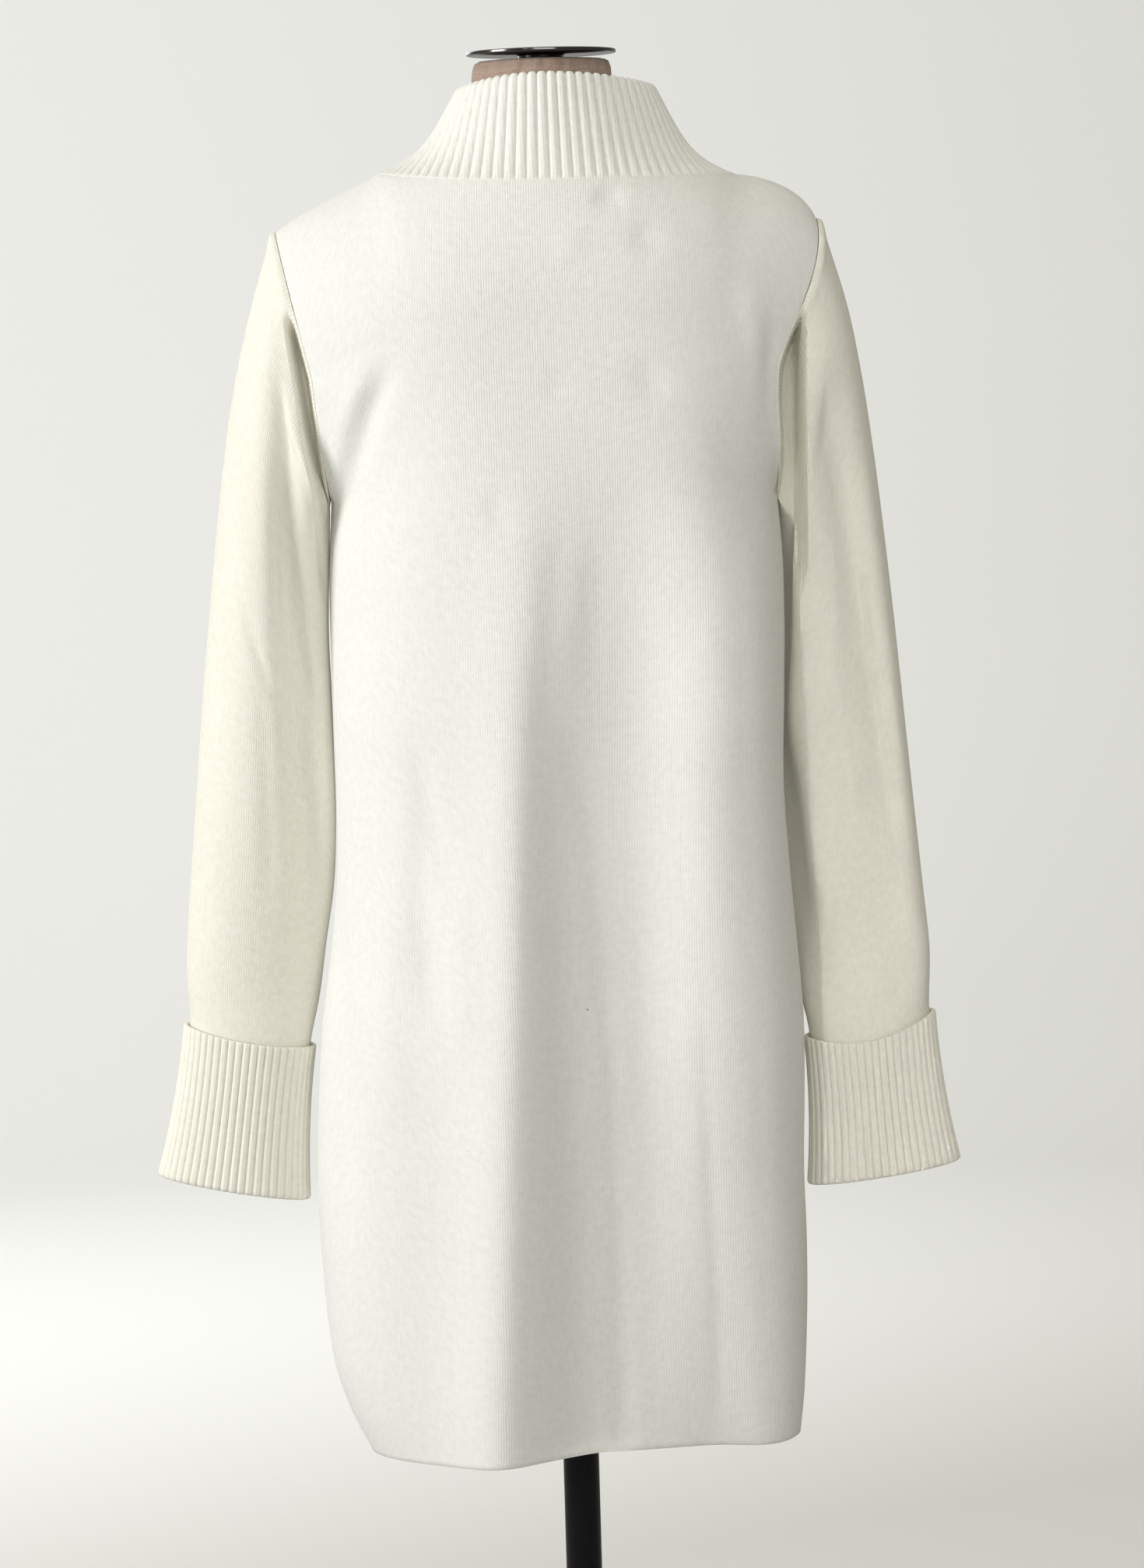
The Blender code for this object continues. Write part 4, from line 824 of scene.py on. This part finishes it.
pole = {"radius": 0.0128, "foot": 0.0083, "flange": 0.045, "flangeUnder": 0.7937, "top": 0.7997, "step": 0.0001,
        "edge": 0.0008}
polePiece = cylinder("standPole", 64, pole["radius"], pole["foot"], pole["flangeUnder"])
selectEnd(polePiece, 1)  # the flange spreads from the pole's top
raiseFaces(pole["step"])
bpy.ops.transform.resize(value=(pole["flange"] / pole["radius"],) * 2 + (1,))
raiseFaces(pole["top"] - pole["flangeUnder"] - pole["step"])
finishHard(polePiece, pole["edge"], 2, 50)

base = {"radius": 0.175, "thick": 0.008, "socket": 0.024, "socketTop": 0.060, "bore": 0.0131, "weld": 0.0030,
        "edge": 0.0016}
basePiece = cylinder("standBase", 128, base["radius"], 0.0, base["thick"])
selectEnd(basePiece, 1)  # weld, then the socket, then its bore
inset(base["radius"] - base["socket"] - base["weld"])
inset(base["weld"], base["weld"])
raiseFaces(base["socketTop"] - base["thick"] - base["weld"])
inset(base["socket"] - base["bore"])
raiseFaces(base["thick"] - base["socketTop"])
finishHard(basePiece, base["edge"], 3, 40)
print("stand: cap, pole and base made")

# Materials
class Value:  # a node's result, which can be reckoned with like a number
    def __init__(self, socket):
        self.socket = socket

    def made(self, operation, *after, before=()):
        inputs = dict(enumerate((*before, self, *after)))
        return Value(addNode(self.socket.id_data, "Math", inputs, operation=operation).outputs[0])

    def held(self):  # kept between 0 and 1
        self.socket.node.use_clamp = True
        return self

    __add__ = lambda self, other: self.made("ADD", other)
    __sub__ = lambda self, other: self.made("SUBTRACT", other)
    __rsub__ = lambda self, other: self.made("SUBTRACT", before=(other,))
    __mul__ = lambda self, other: self.made("MULTIPLY", other)
    __truediv__ = lambda self, other: self.made("DIVIDE", other)


def feed(node, values):  # sets a node's inputs or links them
    for key, value in values.items():
        value = getattr(value, "socket", value)
        if isinstance(value, bpy.types.NodeSocket):
            node.id_data.links.new(value, node.inputs[key])
        else:
            node.inputs[key].default_value = value


def addNode(tree, kind, values, **settings):
    node = tree.nodes.new("ShaderNode" + kind)
    for key, value in settings.items():
        setattr(node, key, value)
    feed(node, values)
    return node


def noise(place, scale, detail, **more):
    node = addNode(place.socket.id_data, "TexNoise", {"Vector": place, "Scale": scale, "Detail": detail, **more})
    return Value(node.outputs[0])


def newGroup(name, given, results):  # given: a name and a starting value, or None for a place
    group = bpy.data.node_groups.new(name, "ShaderNodeTree")
    for label, value in given.items():
        kind = "NodeSocketVector" if value is None else "NodeSocketFloat"
        socket = group.interface.new_socket(name=label, in_out="INPUT", socket_type=kind)
        if value is not None:
            socket.default_value = value
    for label in results:
        group.interface.new_socket(name=label, in_out="OUTPUT", socket_type="NodeSocketFloat")
    inputs = [Value(socket) for socket in group.nodes.new("NodeGroupInput").outputs][:len(given)]
    return group, group.nodes.new("NodeGroupOutput"), inputs


def makeStitchGroup():
    # plain knit: columns of small V's, wale apart across and course apart down
    tree, out, (place, wale, course, slant, fuzziness, mottle) = newGroup(
        "stitches", {"Place": None, "Wale": 0.0018, "Course": 0.0014, "Slant": 0.6, "Fuzz": 0.5, "Mottle": 0.5},
        ["Height", "Groove", "Tone"])
    x, y = [Value(axis) for axis in addNode(tree, "SeparateXYZ", {0: place}).outputs][:2]
    bent = (noise(place, 45.0, 2.0) - 0.5) * 0.0012
    across = (x + bent) / wale
    side = (across.made("FRACT") - 0.5).made("ABSOLUTE") * 2.0
    crown = 1.0 - side.made("POWER", 3.0)
    loop = ((y / course + side * slant) * (2 * math.pi)).made("SINE") * 0.22 + 0.78
    hairs, tufts = noise(place, 620.0, 3.0, Roughness=0.65), noise(place, 190.0, 2.0)
    fuzz = (hairs - 0.5) + (tufts - 0.5) * 0.9
    tone = (tufts - 0.5) * 0.8 + (noise(place, 14.0, 3.0) - 0.5) * 0.2
    feed(out, {"Height": crown * loop + fuzz * fuzziness, "Groove": ((1.0 - crown) * 1.0).held(),
               "Tone": (tone * mottle + 0.5).held()})
    return tree


def makeWeaveGroup():
    # plain weave with uneven threads
    tree, out, (place, pitch, slub) = newGroup("weave", {"Place": None, "Pitch": 0.0009, "Slub": 0.5},
                                               ["Height", "Tone"])
    parts = addNode(tree, "SeparateXYZ", {0: place}).outputs
    threads, tones = [], []
    for axis, stretch in enumerate(((1.0, 14.0), (14.0, 1.0))):  # the grain runs 14 times longer one way
        scale = (540 / stretch[0], 540 / stretch[1], 1.0)
        scaled = addNode(tree, "Mapping", {"Vector": place, "Scale": scale}).outputs[0]
        tones.append(noise(Value(scaled), 1.0, 2.0))
        turns = (Value(parts[axis]) / pitch + (tones[axis] - 0.5) * slub) * math.pi
        threads.append(turns.made("SINE").made("ABSOLUTE"))
    one, other = threads
    feed(out, {"Height": one.made("MAXIMUM", other) * 0.6 + (one * other) * 0.4,
               "Tone": ((tones[0] + tones[1]) * 0.5).held()})
    return tree


def makeWearGroup():
    # faint marks and dust on hard, smooth things
    tree, out, (place, scale) = newGroup("handling", {"Place": None, "Scale": 60.0}, ["Marks", "Dust"])
    feed(out, {"Marks": noise(place, scale, 5.0, Roughness=0.6),
               "Dust": ((noise(place, 900.0, 1.0) - 0.62) * 4.0).held()})
    return tree


def rampNode(value, stops):
    ramp = addNode(value.socket.id_data, "ValToRGB", {0: value})
    elements = ramp.color_ramp.elements
    stops = list(stops)
    while len(elements) < len(stops):
        elements.new(0.5)
    for element, (position, colour) in zip(elements, stops):
        element.position, element.color = position, (*colour, 1.0)
    return ramp.outputs[0]


def newMaterial(name):
    made = bpy.data.materials.new(name)
    made.use_nodes = True
    return made, made.node_tree, made.node_tree.nodes["Principled BSDF"]


def coveredMaterial(name, effect, settings, place, cover):  # one effect group on a Principled surface
    made, tree, surface = newMaterial(name)
    if place == "cut":
        place = addNode(tree, "UVMap", {}, uv_map="cut").outputs[0]
    else:
        place = addNode(tree, "TexCoord", {}).outputs["Object"]
    group = addNode(tree, "Group", {}, node_tree=effect)
    feed(group, {"Place": place, **settings})
    look = cover({socket.name: Value(socket) for socket in group.outputs})
    bump = addNode(tree, "Bump", {"Strength": look.pop("bump"), "Distance": look.pop("lift"),
                                  "Height": look.pop("height")})
    feed(surface, {"Normal": bump.outputs[0], **look})
    return made


stitches, weave, handling = makeStitchGroup(), makeWeaveGroup(), makeWearGroup()


def knitMaterial(name, look):
    def cover(knit):
        yarn = rampNode(knit["Tone"], zip((0.25, 0.5, 0.75), look["yarn"]))
        # painted shade: the grooves between the stitches' crowns are made darker in the colour
        shade = 1.0 - knit["Groove"] * look["grooveShade"]
        coloured = addNode(yarn.id_data, "Mix", {"Factor": 1.0, 6: yarn, 7: shade}, data_type="RGBA",
                           blend_type="MULTIPLY")
        return {"Base Color": coloured.outputs[2], "Roughness": (knit["Tone"] * 0.12 + look["rough"]).held(),
                "bump": look["bump"], "lift": look["lift"], "height": knit["Height"],
                "Specular IOR Level": 0.18, "Sheen Weight": look["sheen"], "Sheen Roughness": 0.55,
                "Sheen Tint": (1.0, 0.97, 0.90, 1.0)}

    settings = {label: look[label.lower()] for label in ("Wale", "Course", "Slant", "Fuzz", "Mottle")}
    return coveredMaterial(name, stitches, settings, "cut", cover)


knitLook = {"wale": 0.0018, "course": 0.0015, "slant": 0.55, "fuzz": 0.9, "mottle": 0.9,
            "yarn": ((0.755, 0.750, 0.715), (0.805, 0.800, 0.765), (0.850, 0.845, 0.810)),
            "grooveShade": 0.10, "rough": 0.82, "bump": 0.42, "lift": 0.0005, "sheen": 0.12}
# The sleeves' yarn is the body's yarn with less blue: painted warm shade, the cream tint of the shade the sleeves
# hang in
sleeveWarmShadeLook = {**knitLook, "yarn": ((0.770, 0.748, 0.650), (0.822, 0.802, 0.710), (0.865, 0.848, 0.762))}
# The cuffs' rib yarn has less blue than the collar's: painted warm shade, the cream tint of the shade round the
# cuffs
cuffRibWarmShadeLook = {"wale": 0.0027, "course": 0.0021, "slant": 0.5, "fuzz": 0.7, "mottle": 0.7,
           "yarn": ((0.770, 0.750, 0.660), (0.825, 0.806, 0.718), (0.868, 0.852, 0.768)),
           "grooveShade": 0.06, "rough": 0.84, "bump": 0.35, "lift": 0.0005, "sheen": 0.12}
collarLook = {**cuffRibWarmShadeLook, "yarn": ((0.760, 0.750, 0.705), (0.815, 0.806, 0.762), (0.860, 0.852, 0.810))}
plainKnit, sleeveKnitWarmShade = knitMaterial("ivoryKnit", knitLook), knitMaterial("ivorySleeveKnit", sleeveWarmShadeLook)
cuffRibWarmShade, collarRib = knitMaterial("ivoryRib", cuffRibWarmShadeLook), knitMaterial("ivoryCollarRib", collarLook)


def linenCover(threads):
    stops = [(0.30, (0.300, 0.205, 0.150)), (0.5, (0.440, 0.320, 0.250)), (0.72, (0.580, 0.455, 0.370))]
    return {"Base Color": rampNode(threads["Tone"], stops), "Roughness": (threads["Tone"] * 0.15 + 0.76).held(),
            "bump": 0.6, "lift": 0.0005, "height": threads["Height"],
            "Specular IOR Level": 0.2, "Sheen Weight": 0.15}


def hardMaterial(name, look):
    def cover(wear):
        tone = (wear["Marks"] * 0.6 + wear["Dust"] * look["dust"]).held()
        return {"Base Color": rampNode(tone, [(0.2, look["dark"]), (0.9, look["light"])]),
                "Roughness": (wear["Marks"] * look["roughVary"] + look["rough"]).held(),
                "bump": look["bump"], "lift": 0.0002, "height": wear["Marks"],
                "Metallic": look["metallic"], "Specular IOR Level": look["shine"]}

    return coveredMaterial(name, handling, {"Scale": look["scale"]}, "object", cover)


formLinen = coveredMaterial("formLinen", weave, {"Pitch": 0.0010, "Slub": 0.7}, "cut", linenCover)
darkChrome = hardMaterial("darkChrome", {
    "scale": 90.0, "dust": 0.05, "dark": (0.10, 0.10, 0.10), "light": (0.22, 0.22, 0.21), "rough": 0.08,
    "roughVary": 0.14, "bump": 0.05, "metallic": 1.0, "shine": 0.5})
blackPaint = hardMaterial("blackPaint", {
    "scale": 45.0, "dust": 0.25, "dark": (0.004, 0.004, 0.005), "light": (0.009, 0.009, 0.010), "rough": 0.26,
    "roughVary": 0.14, "bump": 0.10, "metallic": 0.0, "shine": 0.14})

finished = [
    (backPiece, "back_panel", plainKnit, "knit"),
    (frontPieces["left"], "front_left", plainKnit, "knit"),
    (frontPieces["right"], "front_right", plainKnit, "knit"),
    (sleevePieces["left"], "sleeve_left", sleeveKnitWarmShade, "knit"),
    (sleevePieces["right"], "sleeve_right", sleeveKnitWarmShade, "knit"),
    (cuffPieces["left"], "cuff_left", cuffRibWarmShade, "rib"),
    (cuffPieces["right"], "cuff_right", cuffRibWarmShade, "rib"),
    (collarPiece, "collar", collarRib, "rib"),
    (formPiece, "form_torso", formLinen, "linen"),
    (capPiece, "neck_cap", darkChrome, "cap_metal"),
    (polePiece, "stand_pole", blackPaint, "stand_paint"),
    (basePiece, "stand_base", blackPaint, "stand_paint"),
]
for piece, node, material, slot in finished:
    piece.data.materials.clear()
    piece.data.materials.append(material)
    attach(piece, "root")
    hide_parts(node)
print("materials on", len(finished), "pieces")

# Stage, light and camera
stage = {"radius": 7.0, "wall": 5.0, "curve": 2.6, "shown": (0.80, 0.795, 0.78), "bounce": (0.40, 0.40, 0.39)}
bpy.ops.mesh.primitive_circle_add(vertices=96, radius=stage["radius"], fill_type="NGON", location=(0, 0, 0))
floorPiece = startPiece("paleStudioFloor")
setMode("EDIT")
bpy.ops.mesh.select_all(action="SELECT")
raiseFaces(stage["wall"])
bpy.ops.mesh.delete(type="ONLY_FACE")
bpy.ops.mesh.select_all(action="SELECT")
bpy.ops.mesh.flip_normals()  # the painted side faces the studio
setMode("OBJECT")
bevelAt(floorPiece, stage["curve"], 24, 60)
bpy.ops.object.shade_smooth()
floorPiece.select_set(False)
made, tree, surface = newMaterial("studioPaint")
place = Value(addNode(tree, "TexCoord", {}).outputs["Object"])
low = tuple(0.985 * c for c in stage["shown"])
shown = rampNode(noise(place, 0.6, 1.0), [(0.3, low), (0.7, stage["shown"])])
fromCamera = Value(addNode(tree, "LightPath", {}).outputs["Is Camera Ray"])
# A studio darker than its backdrop: less light comes back from the paint
mixed = addNode(tree, "Mix", {0: fromCamera, 6: (*stage["bounce"], 1.0), 7: shown}, data_type="RGBA")
feed(surface, {"Base Color": mixed.outputs[2], "Roughness": 0.95, "Specular IOR Level": 0.05})
# A camera outside the studio sees in through the wall
outside = fromCamera * Value(addNode(tree, "NewGeometry", {}).outputs["Backfacing"])
clear = addNode(tree, "BsdfTransparent", {})
oneWay = addNode(tree, "MixShader", {0: outside, 1: surface.outputs[0], 2: clear.outputs[0]})
feed(tree.nodes["Material Output"], {"Surface": oneWay.outputs[0]})
floorPiece.data.materials.append(made)

lights = {  # place, target, size, power, colour, spread
    "keySoftbox": ((3.5, 1.32, 1.9), (0, 0, 1.05), (1.6, 2.2), 114.0, (0.99, 0.995, 1.0), 3.14),
    "fillSoftbox": ((-0.4, 4.2, 2.0), (0, 0, 0.95), (2.4, 2.0), 63.0, (1.0, 0.998, 0.990), 3.14),
    "sleeveSoftbox": ((1.5, 3.75, 1.6), (-0.32, 0.03, 0.98), (0.2, 1.3), 0.42, (1.0, 1.0, 0.94), 0.15),
    "backdropLight": ((0.4, -2.4, 3.2), (3.0, -7.0, 2.0), (1.4, 1.4), 114.0, (0.965, 0.985, 1.02), 3.14),
    "frontSoftbox": ((1.6, -3.2, 2.4), (0, 0, 1.1), (2.0, 2.0), 26.0, (1.0, 1.0, 1.0), 3.14),
}
for name, (place, target, size, power, colour, spread) in lights.items():
    light = bpy.data.lights.new(name, "AREA")
    light.shape, light.energy, light.color, light.spread = "RECTANGLE", power, colour, spread
    light.size, light.size_y = size
    lamp = bpy.data.objects.new(name, light)
    lamp.location = place
    lamp.rotation_euler = (Vector(target) - Vector(place)).to_track_quat("-Z", "Y").to_euler()
    lamp.visible_camera = False
    bpy.context.scene.collection.objects.link(lamp)
sky = bpy.data.worlds.new("studioAir")
sky.use_nodes = True
feed(sky.node_tree.nodes["Background"], {"Color": (1.0, 0.975, 0.865, 1.0), "Strength": 0.63})
bpy.context.scene.world = sky
bpy.context.scene.view_settings.view_transform = "Standard"

view = {"place": (-0.0072, 3.6, 1.32), "drop": 0.32, "roll": 1.64, "lens": 160.3, "sensor": 36.0, "far": 60.0}
turns = ((math.pi, "Z"), (math.pi / 2 - math.atan2(view["drop"], view["place"][1]), "X"),
         (-math.radians(view["roll"]), "Z"))
lens = bpy.data.cameras.new("studioCamera")
lens.sensor_fit, lens.sensor_width = "HORIZONTAL", view["sensor"]
lens.lens, lens.clip_end = view["lens"], view["far"]
camera = bpy.data.objects.new("studioCamera", lens)
bpy.context.scene.collection.objects.link(camera)
camera.matrix_world = Matrix.Translation(view["place"])
for angle, axis in turns:
    camera.matrix_world = camera.matrix_world @ Matrix.Rotation(angle, 4, axis)
bpy.context.scene.camera = camera

print("scene ready")
